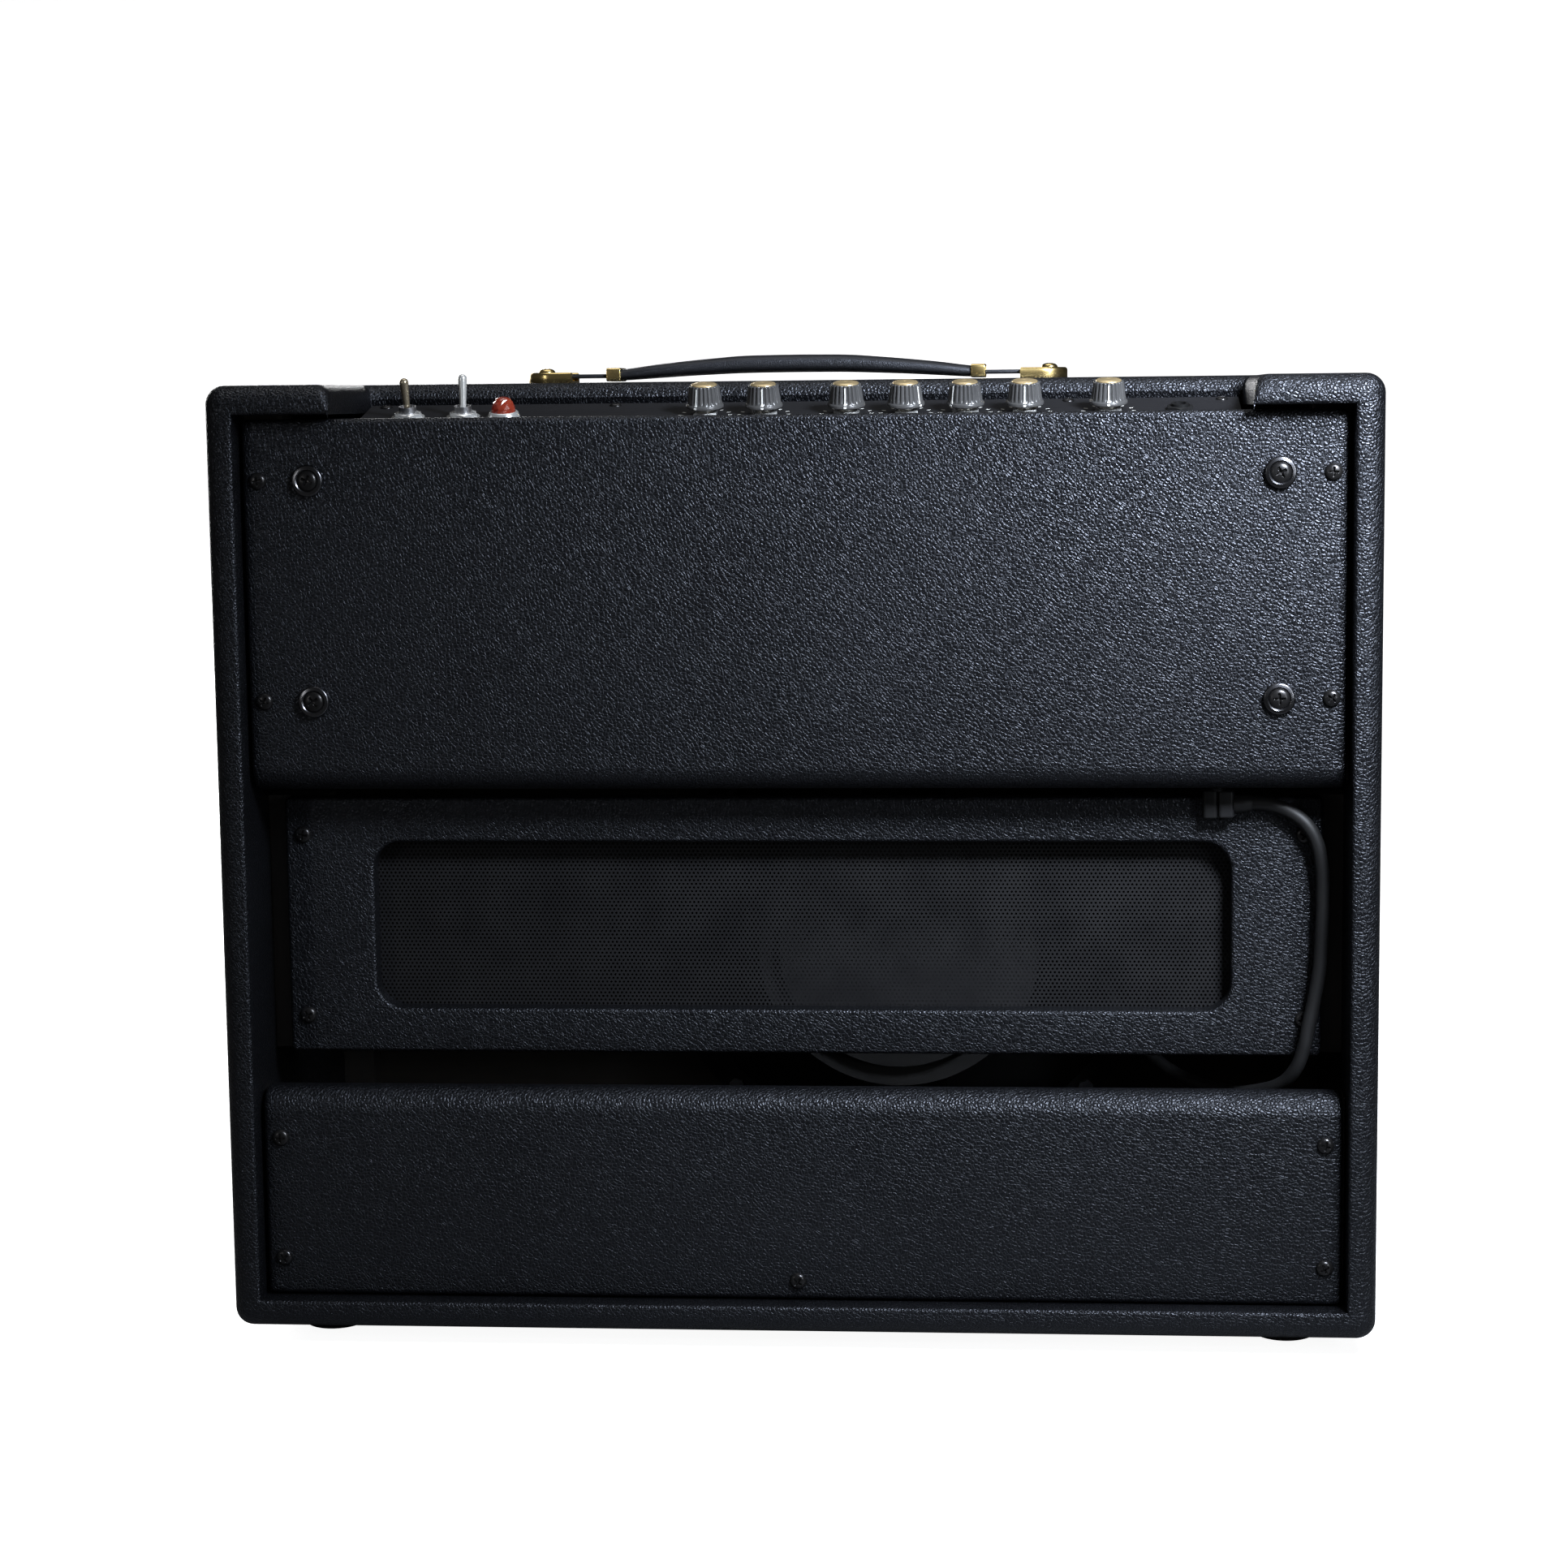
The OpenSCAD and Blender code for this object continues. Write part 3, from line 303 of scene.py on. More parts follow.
def effect(name, inputs, outputs):
    """An empty node group with float inputs and outputs, and its two end nodes."""
    group = bpy.data.node_groups.new(name, "ShaderNodeTree")
    for label, default in inputs.items():
        made = group.interface.new_socket(label, in_out="INPUT", socket_type="NodeSocketFloat")
        made.default_value = default
    for label in outputs:
        group.interface.new_socket(label, in_out="OUTPUT", socket_type="NodeSocketFloat")
    return group, group.nodes.new("NodeGroupInput"), group.nodes.new("NodeGroupOutput")


def blend_colour(tree, mask, first, second):
    """A Mix node from the first colour to the second by mask. Returns its colour output."""
    made = add_node(tree, "ShaderNodeMix", mask, data_type="RGBA")
    for socket, value in zip([s for s in made.inputs if s.type == "RGBA"], (first, second)):
        connect(tree, socket, value)
    return [s for s in made.outputs if s.type == "RGBA"][0]


# %% Shared effect: pebble grain
# Cells of a Voronoi pattern, pushed about by noise, give the rounded pebbles; a finer noise
# roughens their tops. Height is 0 in the creases and about 1 on the pebbles.
grain, grain_in, grain_out = effect(
    "pebble grain", {"Scale": 430.0, "Wander": 0.0012}, ("Height", "Crease", "Patch")
)
spot = object_place(grain)
wander = noise(grain, spot, 260.0, output="Color")
shift = vector_node(grain, "SUBTRACT", wander, (0.5, 0.5, 0.5))
sized = vector_node(grain, "SCALE", shift, Scale=grain_in.outputs["Wander"])
cells = add_node(
    grain, "ShaderNodeTexVoronoi", feature="DISTANCE_TO_EDGE",
    Vector=vector_node(grain, "ADD", spot, sized), Scale=grain_in.outputs["Scale"],
)
near = math_node(grain, "MULTIPLY", cells.outputs["Distance"], 2.6, clamp=True)
pebble = math_node(grain, "POWER", near, 0.55)
rough = math_node(grain, "MULTIPLY", noise(grain, spot, 1500.0, 3.0), 0.35)
crease = math_node(grain, "SUBTRACT", 1.0, pebble, clamp=True)
height = math_node(grain, "ADD", pebble, rough)
feed(grain, grain_out, Height=height, Crease=crease, Patch=noise(grain, spot, 9.0, 4.0))

# %% Shared effect: handling dust
# Soft large noise and fine specks: where things are touched or dusty, gloss changes.
dust, dust_in, dust_out = effect(
    "handling dust", {"Patch scale": 40.0, "Speck scale": 900.0}, ("Amount", "Speck")
)
spot = object_place(dust)
feed(
    dust, dust_out, Amount=noise(dust, spot, dust_in.outputs["Patch scale"], 4.0),
    Speck=noise(dust, spot, dust_in.outputs["Speck scale"]),
)


# %% Shared effect: run of a line pattern
# Straight grain for wood and brushed metal: noise on coordinates stretched along one axis.
def stretched_noise(tree, stretch, scale, detail=4.0):
    """Noise on Object coordinates multiplied by stretch, so it runs long along small values."""
    return noise(tree, vector_node(tree, "MULTIPLY", object_place(tree), stretch), scale, detail)


def finish(name, colour, roughness, metallic=0.0, **sockets):
    """A Principled material. Returns it with its tree and shader for more nodes."""
    material = bpy.data.materials.new(name)
    material.use_nodes = True
    tree = material.node_tree
    shader = tree.nodes["Principled BSDF"]
    feed(tree, shader, Base_Color=colour, Roughness=roughness, Metallic=metallic, **sockets)
    material.diffuse_color = (*colour, 1)
    return material, tree, shader


def bump(tree, shader, height, strength, distance):
    """Feeds a height to the shader's Normal through a Bump node."""
    made = add_node(tree, "ShaderNodeBump", Height=height, Strength=strength, Distance=distance)
    feed(tree, shader, Normal=made.outputs["Normal"])


def paint(tree, shader, mask, first, second):
    """Feeds the shader's colour with a blend of two by mask."""
    feed(tree, shader, Base_Color=blend_colour(tree, mask, first, second))


def dusty(
    name, colour, tired, roughness, metallic=0.0, patch=40.0, speck=900.0, depth=0.00002, **sockets
):
    """A plain finish with uneven gloss, a slightly tired second colour and a fine bump."""
    material, tree, shader = finish(name, colour, roughness, metallic, **sockets)
    worn = add_node(
        tree, "ShaderNodeGroup", node_tree=dust, Patch_scale=patch, Speck_scale=speck
    ).outputs
    paint(tree, shader, worn["Amount"], colour, tired)
    wide = math_node(tree, "MULTIPLY_ADD", worn["Amount"], 0.3, roughness - 0.15, clamp=True)
    feed(tree, shader, Roughness=wide)
    bump(tree, shader, worn["Speck"], 0.5, depth)
    return material


# %% Vinyl covering
def vinyl_finish(name, colour, scale, depth, roughness):
    """Pebble grain vinyl: painted shade darkening the creases, faint patches of gloss and a bump of
    real depth.
    """
    tint = (0.84, 0.88, 1.0)
    material, tree, shader = finish(name, colour, roughness, Specular_Tint=tint)
    made = add_node(tree, "ShaderNodeGroup", node_tree=grain, Scale=scale, Wander=0.0013)
    pebbled = made.outputs
    # painted shade: the creases between the pebbles are darkened to about a third of the colour
    paint(tree, shader, pebbled["Crease"], colour, tuple(c * 0.35 for c in colour))
    gloss = math_node(tree, "MULTIPLY_ADD", pebbled["Patch"], 0.16, roughness - 0.08)
    gloss = math_node(tree, "MULTIPLY_ADD", pebbled["Crease"], 0.15, gloss, clamp=True)
    # where the mesh's own "lining" attribute is 1 the covering stops and black paint begins
    lining = add_node(tree, "ShaderNodeAttribute", attribute_name="lining").outputs["Fac"]
    shine = math_node(tree, "MULTIPLY_ADD", lining, -0.42, 0.5)
    feed(tree, shader, Roughness=gloss, Specular_IOR_Level=shine)
    bump(tree, shader, pebbled["Height"], 1.0, depth)
    return material


vinyl = vinyl_finish("pebble vinyl", (0.0022, 0.0023, 0.0029), 540.0, 0.00030, 0.33)
strap_skin = vinyl_finish("moulded handle skin", (0.010, 0.010, 0.011), 900.0, 0.00010, 0.38)

# %% Metals and plastics
black_steel = dusty(
    "blackened screw steel", (0.022, 0.022, 0.025), (0.040, 0.038, 0.036), 0.28, 0.8
)
dark_nickel = dusty("dark nickel washer", (0.16, 0.16, 0.17), (0.10, 0.10, 0.11), 0.24, 1.0)
bright_nickel = dusty(
    "bright nickel", (0.82, 0.82, 0.80), (0.72, 0.72, 0.70), 0.26, 0.7, depth=0.00001
)
satin_nickel = dusty(
    "satin nickel lever", (0.80, 0.80, 0.77), (0.70, 0.70, 0.67), 0.26, 0.55, depth=0.00001
)
# the first lever gets a darker, warmer copy of the lever nickel
warm_nickel = dusty(
    "warm dark nickel lever", (0.52, 0.45, 0.33), (0.40, 0.33, 0.22), 0.28, 0.75, depth=0.00001
)
brass = dusty("lacquered brass", (0.92, 0.72, 0.32), (0.78, 0.56, 0.22), 0.24, 1.0)
gold_cap = dusty(
    "spun gold cap", (0.90, 0.72, 0.42), (0.80, 0.60, 0.32), 0.34, 0.85, speck=2500.0
)
knob_black = dusty(
    "knob phenolic", (0.040, 0.040, 0.041), (0.070, 0.069, 0.068), 0.32,
    speck=1400.0, Specular_IOR_Level=0.6,
)
moulded_black = dusty(
    "moulded black plastic", (0.004, 0.004, 0.0045), (0.008, 0.008, 0.008), 0.52,
    Specular_IOR_Level=0.25,
)
rubber = dusty("foot rubber", (0.012, 0.012, 0.012), (0.03, 0.029, 0.028), 0.7, depth=0.00006)
cable_skin = dusty(
    "cable sleeve", (0.005, 0.005, 0.0055), (0.010, 0.010, 0.010), 0.55,
    depth=0.00003, Specular_IOR_Level=0.35,
)
plug_grey = dusty(
    "plug cap grey", (0.009, 0.009, 0.010), (0.014, 0.014, 0.015), 0.50, Specular_IOR_Level=0.3
)
zinc = dusty("zinc plate", (0.50, 0.50, 0.53), (0.38, 0.37, 0.36), 0.40, 1.0, patch=70.0)
pale_metal = dusty("pot case metal", (0.55, 0.53, 0.49), (0.42, 0.40, 0.36), 0.42, 1.0)
enamel = dusty("black enamel", (0.02, 0.02, 0.022), (0.04, 0.035, 0.03), 0.40)
frame_paint = dusty(
    "speaker frame paint", (0.008, 0.008, 0.009), (0.014, 0.014, 0.014), 0.5,
    speck=600.0, depth=0.00008,
)
ferrite = dusty("ferrite magnet", (0.012, 0.012, 0.013), (0.022, 0.021, 0.020), 0.6)
ceramic = dusty("socket ceramic", (0.72, 0.69, 0.62), (0.60, 0.56, 0.50), 0.35)
sleeve_blue = dusty("capacitor sleeve", (0.02, 0.05, 0.18), (0.03, 0.06, 0.2), 0.25)
bakelite = dusty("brown bakelite", (0.05, 0.025, 0.014), (0.08, 0.045, 0.03), 0.35)
bead_ivory = dusty("ivory bead", (0.70, 0.66, 0.55), (0.60, 0.54, 0.42), 0.38)

# %% Control plate
# Satin black sheet: fine brushing along X.
plate_metal, tree, shader = finish(
    "control plate", (0.010, 0.010, 0.011), 0.50, 0.1, Specular_IOR_Level=0.25
)
brushing = stretched_noise(tree, (4.0, 900.0, 900.0), 1.0)
paint(tree, shader, brushing, (0.006, 0.006, 0.007), (0.016, 0.016, 0.018))
feed(tree, shader, Roughness=math_node(tree, "MULTIPLY_ADD", brushing, 0.2, 0.42))
bump(tree, shader, brushing, 0.3, 0.00002)


# %% Wood
def wood_finish(name, pale, dark, along_axis, ply=False):
    """Wood with grain along one axis; plywood adds glued layers through its thickness."""
    material, tree, shader = finish(name, pale, 0.65)
    stretch = [60.0, 60.0, 60.0]
    stretch["XYZ".index(along_axis)] = 3.0
    figure = stretched_noise(tree, stretch, 3.0, 8.0)
    colour = blend_colour(tree, figure, pale, dark)
    if ply:
        layers = stretched_noise(tree, (0.2, 700.0, 0.2), 1.0, 1.0)
        colour = blend_colour(tree, math_node(tree, "MULTIPLY", layers, 0.5), colour, dark)
    feed(tree, shader, Base_Color=colour)
    bump(tree, shader, figure, 0.4, 0.0002)
    return material


# the cleats, grille frame and baffle get a near-black wood colour
dark_wood = wood_finish("dark softwood", (0.020, 0.018, 0.016), (0.045, 0.036, 0.028), "Z")
dark_ply = wood_finish("dark plywood", (0.022, 0.020, 0.018), (0.050, 0.040, 0.030), "X", True)

# %% Speaker paper
# Felted paper: matt grey-black with fibres as fine noise and faint rings left by the mould.
paper, tree, shader = finish("felted paper", (0.03, 0.03, 0.032), 0.85)
fibres = stretched_noise(tree, (1.0, 1.0, 1.0), 700.0, 6.0)
paint(tree, shader, fibres, (0.008, 0.008, 0.009), (0.024, 0.023, 0.024))
bump(tree, shader, fibres, 0.6, 0.00025)

# %% Glass, lens and cloth
valve_glass, tree, shader = finish(
    "valve glass", (0.86, 0.88, 0.88), 0.06, Alpha=0.38, Coat_Weight=0.6
)
silvered = stretched_noise(tree, (1.0, 1.0, 1.0), 60.0)
paint(tree, shader, silvered, (0.25, 0.26, 0.28), (0.75, 0.78, 0.8))

jewel_red, tree, shader = finish(
    "faceted red jewel", (0.32, 0.050, 0.024), 0.16, Transmission_Weight=0.2, IOR=1.5,
    Coat_Weight=0.4, Emission_Color=(1.0, 0.02, 0.005), Emission_Strength=0.03,
)
depths = stretched_noise(tree, (1.0, 1.0, 1.0), 220.0)
paint(tree, shader, depths, (0.36, 0.060, 0.030), (0.16, 0.018, 0.009))

# Woven grille cloth: two crossed sets of threads, with warp over weft in turn.
grille_weave, tree, shader = finish("grille cloth", (0.3, 0.29, 0.27), 0.8, Sheen_Weight=0.2)
THREAD = 0.0022
parted = add_node(tree, "ShaderNodeSeparateXYZ", object_place(tree)).outputs
warp, weft = (
    math_node(tree, "SINE", math_node(tree, "MULTIPLY", parted[axis], 2 * math.pi / THREAD))
    for axis in "XZ"
)
over = math_node(tree, "MULTIPLY_ADD", math_node(tree, "MULTIPLY", warp, weft), 0.5, 0.5)
slub = stretched_noise(tree, (30.0, 30.0, 900.0), 1.0)
thread = math_node(tree, "MULTIPLY", over, math_node(tree, "ADD", slub, 0.4), clamp=True)
paint(tree, shader, thread, (0.035, 0.033, 0.032), (0.42, 0.40, 0.37))
bump(tree, shader, thread, 0.8, 0.0004)

# Fine perforated screen: dark paint, thin enough to be one sheet of real holes.
screen_paint = dusty(
    "screen paint", (0.008, 0.008, 0.009), (0.013, 0.013, 0.014), 0.45, Specular_IOR_Level=0.28
)
dial_white = dusty("dial paint", (0.78, 0.78, 0.75), (0.66, 0.66, 0.62), 0.5)
print("finishes", len(bpy.data.materials))

# %% [markdown]
# ## Speaker cable
# The lead from the chassis to the speaker is held at both ends: a flat right-angle plug sits
# in the jack under the chassis, and the cable drops beside the inner panel, bends forward
# under it and rises to the tags on the speaker. Its route is a given list of points.
# A Catmull-Rom curve through them stays smooth where straight pieces would show corners.

# %% Cable route
JACK_IN = 0.036
jack_y = rear_y - JACK_IN
CABLE_ROUTE = np.array([
    (-231, 0, 290), (-241, 0, 290.5), (-251, 0, 289.5), (-261, 1, 285.5), (-269, 2, 279),
    (-274.5, 2.5, 269), (-277, 2.5, 255), (-277.5, 2.5, 240), (-277, 2.5, 222),
    (-276, 2.5, 203), (-273.5, 2.5, 187), (-270.5, 2.5, 172), (-268, 2, 159), (-264, 0, 148),
    (-257, -6, 139), (-246, -16, 133), (-232, -30, 129), (-217, -46, 129), (-203, -62, 132),
    (-190, -78, 139), (-179, -94, 150), (-169, -109, 165), (-161, -121, 181), (-156, -129, 196),
]) * MM + (0, jack_y, 0)


def smooth_route(points, steps):
    """Between two points the curve is a cubic that leaves and arrives along
    the line joining each point's neighbours, so it passes through every point."""
    p = np.concatenate([2 * points[:1] - points[1:2], points, 2 * points[-1:] - points[-2:-1]])
    t = np.linspace(0, 1, steps, endpoint=False)[None, :, None]
    a, b, c, d = (p[i : len(p) - 3 + i, None, :] for i in range(4))
    square, cube = (2 * a - 5 * b + 4 * c - d) * t**2, (3 * b - a - 3 * c + d) * t**3
    curve = 0.5 * (2 * b + (c - a) * t + square + cube)
    return np.concatenate([curve.reshape(-1, 3), points[-1:]])


def tube(route, radius):
    """Rings round the route. Each ring's two directions are square to the run, the first
    of them kept as near to straight along Y as the run allows."""
    run = np.gradient(route, axis=0)
    run /= np.linalg.norm(run, axis=1, keepdims=True)
    side = np.cross(run, np.array((0.25, 1.0, 0.2)) / 1.05)
    side /= np.linalg.norm(side, axis=1, keepdims=True)
    up = np.cross(run, side)
    t = turns(16)[None, :, None]
    return skin(route[:, None] + radius * (np.cos(t) * side[:, None] + np.sin(t) * up[:, None]))


cable_line = smooth_route(CABLE_ROUTE, 6)
CABLE_R = 0.0037
lead = tube(cable_line, CABLE_R)
piece("speaker_lead", lead, "cabinet", cable_skin, ["speaker_cable"])
length = np.linalg.norm(np.diff(cable_line, axis=0), axis=1).sum()
print("cable length, m:", round(float(length), 3))


# %% Plug
# A flat moulded body in two tones, a round collar and the pin that goes up into the jack.
def rounded_block(size, spot, edge, corner=0.002):
    """A box with round corners in plan and rounded rims: its outline is a rounded rectangle
    that shrinks by edge (1 - sin q) towards the top and bottom faces."""
    w, d, h = size
    stations = along((-h / 2, h / 2), edge)
    points, faces = skin([np.insert(corner_loop(w, d, corner, i), 2, z, 1) for z, i in stations])
    return points + np.array(spot), faces


plug_x, plug_z = -0.222, 0.290
dark_spot = (plug_x + 0.0036, jack_y, plug_z + 0.00025)
plug_dark = rounded_block((0.0078, 0.009, 0.0155), dark_spot, 0.0014)
plug_collar = lathe([(0.0044, 0.007), (0.0044, 0.0158), (0.0040, 0.0163), (0.0, 0.0163)], 40)
plug_ribs = [
    lathe([(0.0046, z), (0.0049, z + 0.0004), (0.0049, z + 0.0010), (0.0046, z + 0.0014)], 40)
    for z in (0.0078, 0.0104, 0.0130)
]
upright = place(join([plug_collar, *plug_ribs]), (plug_x, jack_y, plug_z))
piece("plug_body", [plug_dark, upright], "cabinet", moulded_black, ["cable_plug"])
pale_spot = (plug_x - 0.0048, jack_y, plug_z + 0.0002)
plug_pale = rounded_block((0.0084, 0.0088, 0.0150), pale_spot, 0.0016)
piece("plug_cap", plug_pale, "cabinet", plug_grey)
sleeve = lathe([(0.0046, 0), (0.0050, 0.001), (0.0044, 0.009), (0.0039, 0.010)], 32)
sleeve = place(sleeve, (plug_x - 0.0085, jack_y, plug_z), (-1, 0, 0.03))
piece("plug_boot", sleeve, "cabinet", cable_skin)
print("plug at", (plug_x, round(jack_y, 3), plug_z))

# %% [markdown]
# ## Cabinet covering
# The cabinet is one wooden box with vinyl glued over it and round every edge, open at the
# front and rear, with a wide notch cut in the top board over the controls. Seen as a surface
# it is like a door frame: an outer skin and an inner skin joined round two rims. Both skins are
# grids with the same stations along Y and the same places round the box, so the notch is
# made by leaving out its faces and joining outer to inner along its border. A formula lowers
# the outer skin near that border, which rounds the notch's edges and its inner corners.

# %% Covering grid
wall = 0.0155
edge_r = 0.010
rim_inner_r = 0.002
notch_half = 0.238
NOTCH_IN = 0.104
notch_front = rear_y - NOTCH_IN
notch_r = 0.008
middle_z = (top_z + base_z) / 2
half_h = (top_z - base_z) / 2


def box_line(inset, sharp):
    """Points round the box at one inset from its outside, as (x, z). Each side has its own
    list of places; at each corner a quarter circle of radius edge_r - inset, or a point."""
    a, b = half_width - inset, half_h - inset
    r = 0.0 if sharp else max(edge_r - inset, 0.0)
    w, h = a - r, b - r
    # places past the notch's round spread with the inset, and those near the notch stay put
    side, flat = notch_half + notch_r, half_width - edge_r
    ends = side + (np.linspace(flat, side, 5)[:-1] - side) * (w - side) / (flat - side)
    ends = np.concatenate([ends, np.linspace(side, notch_half, 9)[:-1]])
    top = np.concatenate([ends, np.linspace(notch_half, -notch_half, 61), -ends[::-1]])
    long_side = np.linspace(1, -1, 41)
    corner = np.radians(np.linspace(0, 90, 9))[1:-1]
    s, c = r * np.sin(corner), r * np.cos(corner)
    sides = (
        (top, b), (-w - s, h + c), (-a, long_side * h), (-w - c, -h - s),
        (-long_side * w, -b), (w + s, -h - c), (a, -long_side * h), (w + c, h + s),
    )
    return np.concatenate([np.column_stack(np.broadcast_arrays(x, z)) for x, z in sides])


def notch_drop(x, y):
    """How far the top sinks at distance d from the notch: r - sqrt(r^2 - (r - d)^2)."""
    dx = np.maximum(np.abs(x) - notch_half, 0)
    dy = np.maximum(notch_front - y, 0)
    d = np.minimum(np.hypot(dx, dy), notch_r)
    return notch_r - np.sqrt(np.maximum(notch_r**2 - (notch_r - d) ** 2, 0))


q = np.radians(np.linspace(0, 90, 8))
middle_y = np.concatenate([
    np.linspace(front_y + edge_r, notch_front - notch_r, 20)[1:],
    np.linspace(notch_front - notch_r, notch_front, 9)[1:],
    np.linspace(notch_front, rear_y - edge_r, 16)[1:-1],
])


def covering_skin(rim_r, depth, sharp):
    """The grid of one skin at that depth under the outside, and its places along Y. At the
    front and rear it rounds off with radius rim_r, the outer skin inwards and the inner
    one outwards."""
    shift, drawn_in = rim_r * (1 - np.sin(q)), rim_r * (1 - np.cos(q))
    ys = np.concatenate([front_y + shift[::-1], middle_y, rear_y - shift])
    insets = np.concatenate([drawn_in[::-1], np.zeros(len(middle_y)), drawn_in])
    insets = depth - insets if depth else insets
    rows = [np.insert(box_line(i, sharp) + (0, middle_z), 1, y, 1) for y, i in zip(ys, insets)]
    return np.array(rows), ys


outer_skin, outer_y = covering_skin(edge_r, 0, False)
inner_skin, _ = covering_skin(rim_inner_r, wall, True)
count, places = outer_skin.shape[:2]
on_top = outer_skin[:, :, 2] > middle_z + half_h - edge_r - 1e-6
flat_top = on_top & (np.abs(outer_skin[:, :, 0]) < half_width - edge_r)
outer_skin[:, :, 2] -= np.where(flat_top, notch_drop(outer_skin[:, :, 0], outer_skin[:, :, 1]), 0)
print("covering grid", outer_skin.shape)

# %% Covering faces
first = int(np.argmax(np.abs(outer_skin[len(q), :, 0] - notch_half) < 1e-6))
last = int(np.argmax(np.abs(outer_skin[len(q), :, 0] + notch_half) < 1e-6))
start = int(np.argmax(np.abs(outer_y - notch_front) < 1e-9))
base = count * places


def quad(a, b, c, d):
    """Faces from four arrays of point numbers."""
    return np.stack([np.ravel(v) for v in np.broadcast_arrays(a, b, c, d)], -1).tolist()


j, t = np.meshgrid(np.arange(count - 1), np.arange(places), indexing="ij")
open_here = (j >= start) & (t >= first) & (t < last)
j, t = j[~open_here], t[~open_here]
t2 = (t + 1) % places
faces = quad(j * places + t, j * places + t2, (j + 1) * places + t2, (j + 1) * places + t)
under, over = base + j * places, base + (j + 1) * places
faces += quad(under + t2, under + t, over + t, over + t2)
t = np.arange(places)
t2 = (t + 1) % places
faces += quad(t2, t, base + t, base + t2)
t = np.concatenate([np.arange(first), np.arange(last, places)])
t2 = (t + 1) % places
end = (count - 1) * places
faces += quad(end + t, end + t2, base + end + t2, base + end + t)
t = np.arange(first, last)
row = start * places
faces += quad(row + t, row + t + 1, base + row + t + 1, base + row + t)
j = np.arange(start, count - 1) * places
faces += quad(j + last, j + places + last, base + j + places + last, base + j + last)
faces += quad(j + places + first, j + first, base + j + first, base + j + places + first)
skins = np.concatenate([outer_skin.reshape(-1, 3), inner_skin.reshape(-1, 3)])
part = (skins, faces)
covering = piece("vinyl_cabinet", part, "cabinet", vinyl, ["cabinet_shell"], sharp=50)
centre = np.zeros(len(covering.data.polygons) * 3)
covering.data.polygons.foreach_get("center", centre)
centre = centre.reshape(-1, 3)
painted = (np.abs(centre[:, 1] - notch_front) < 1e-5) & (np.abs(centre[:, 0]) < notch_half)
lining = covering.data.attributes.new("lining", "FLOAT", "FACE")
lining.data.foreach_set("value", painted.astype(float))
print("covering faces", len(faces), "painted", int(painted.sum()))

# %% [markdown]
# ## Rear panels
# Three boards close the back: a tall one over the chassis, a low one at the floor, and a
# thinner one between them with the mesh window, set further in. Each is wood wrapped in the
# same vinyl. The two outer boards have a wide round on the edge that faces the middle
# opening. A board is a rounded outline in Y and Z carried along X, drawn in at its ends.


# %% Outer panels
small_r, lip_r, board_back_r = 0.003, 0.013, 0.001


def rounded_board(node, radii):
    """A board of a CAD node's box; radii are those of its four long edges, starting at the
    rear upper one and going over the top."""
    low, high = span(node)
    mid, size = (low + high) / 2, high - low
    rows = []
    for x, inset in along((low[0], high[0]), small_r):
        rows.append(np.insert(corner_loop(*size[1:], radii, inset, 10) + mid[1:], 0, x, 1))
    long_rows = [rows[0]]
    for a, b in zip(rows[:-1], rows[1:]):
        steps = 40 if abs(b[0, 0] - a[0, 0]) > 0.05 else 1
        long_rows += [a + (b - a) * k / steps for k in range(1, steps + 1)]
    return skin(long_rows)


radii = (small_r, board_back_r, board_back_r, lip_r)
upper = rounded_board("upper_rear_panel", radii)
lower = rounded_board("lower_rear_panel", radii[::-1])
piece("upper_back_board", upper, "cabinet", vinyl, ["upper_rear_panel"])
piece("lower_back_board", lower, "cabinet", vinyl, ["lower_rear_panel"])

# %% Inner panel with its window
panel_low, panel_high = span("inner_panel")
inner_face = panel_high[1]
window = np.array((0.460, 0.091))
window_r = 0.015
wrap_r = 0.002


def ring_at(size, radius, y, mid, inset=0.0, steps=10):
    """A rounded rectangle in the plane at y, about the middle (x, z)."""
    return np.insert(corner_loop(*size, radius, inset, steps) + mid, 1, y, 1)


outside = (panel_high - panel_low)[[0, 2]]
panel_mid = middle("inner_panel")[[0, 2]]
wrap = [(inner_face - wrap_r * (1 - math.sin(a)), wrap_r * (1 - math.cos(a))) for a in q]
rows = [ring_at(outside, small_r, panel_low[1], panel_mid)]
rows += [ring_at(outside, small_r, y, panel_mid, inset) for y, inset in wrap]
rows += [ring_at(window, window_r, y, panel_mid, -inset) for y, inset in wrap[::-1]]
rows += [ring_at(window, window_r, panel_low[1], panel_mid)]
piece("window_board", skin(rows, ring=True), "cabinet", vinyl, ["inner_panel"])
print("window, mm:", window / MM)

# %% [markdown]
# ## Mesh screen
# Behind the window is thin steel with staggered round holes 2.3 mm apart. There are nearly
# ten thousand, so each is as light as it can be: a six-sided cell of the lattice with a
# six-sided hole in it, six faces a cell. Neighbouring cells share their corners.

# %% Perforated sheet
pitch = 0.0023
screen_low, screen_high = span("mesh_screen")
row_gap = pitch * math.sqrt(3) / 2
columns = int((window[0] + 0.008) / pitch)
lines = int((window[1] + 0.006) / row_gap)
ci, li = np.meshgrid(np.arange(columns), np.arange(lines), indexing="ij")
cell_x = ((ci + 0.5 * (li % 2)) - columns / 2) * pitch
cell_z = (li - (lines - 1) / 2) * row_gap + panel_mid[1]
angle = np.radians(30 + 60 * np.arange(6))
ring_out = pitch / math.sqrt(3)
ring_in = 0.00066
shape = np.stack([np.cos(angle), np.zeros(6), np.sin(angle)], -1)
sheet_y = np.full(cell_x.shape, screen_high[1] - 0.0006)
centres = np.stack([cell_x, sheet_y, cell_z], -1).reshape(-1, 1, 3)
cells = np.concatenate([centres + ring_out * shape, centres + ring_in * shape], 1)
k = np.arange(6)
one = np.stack([k, (k + 1) % 6, 6 + (k + 1) % 6, 6 + k], -1)
screen_faces = (one[None] + 12 * np.arange(len(cells))[:, None, None]).reshape(-1, 4).tolist()
screen = (cells.reshape(-1, 3), screen_faces)
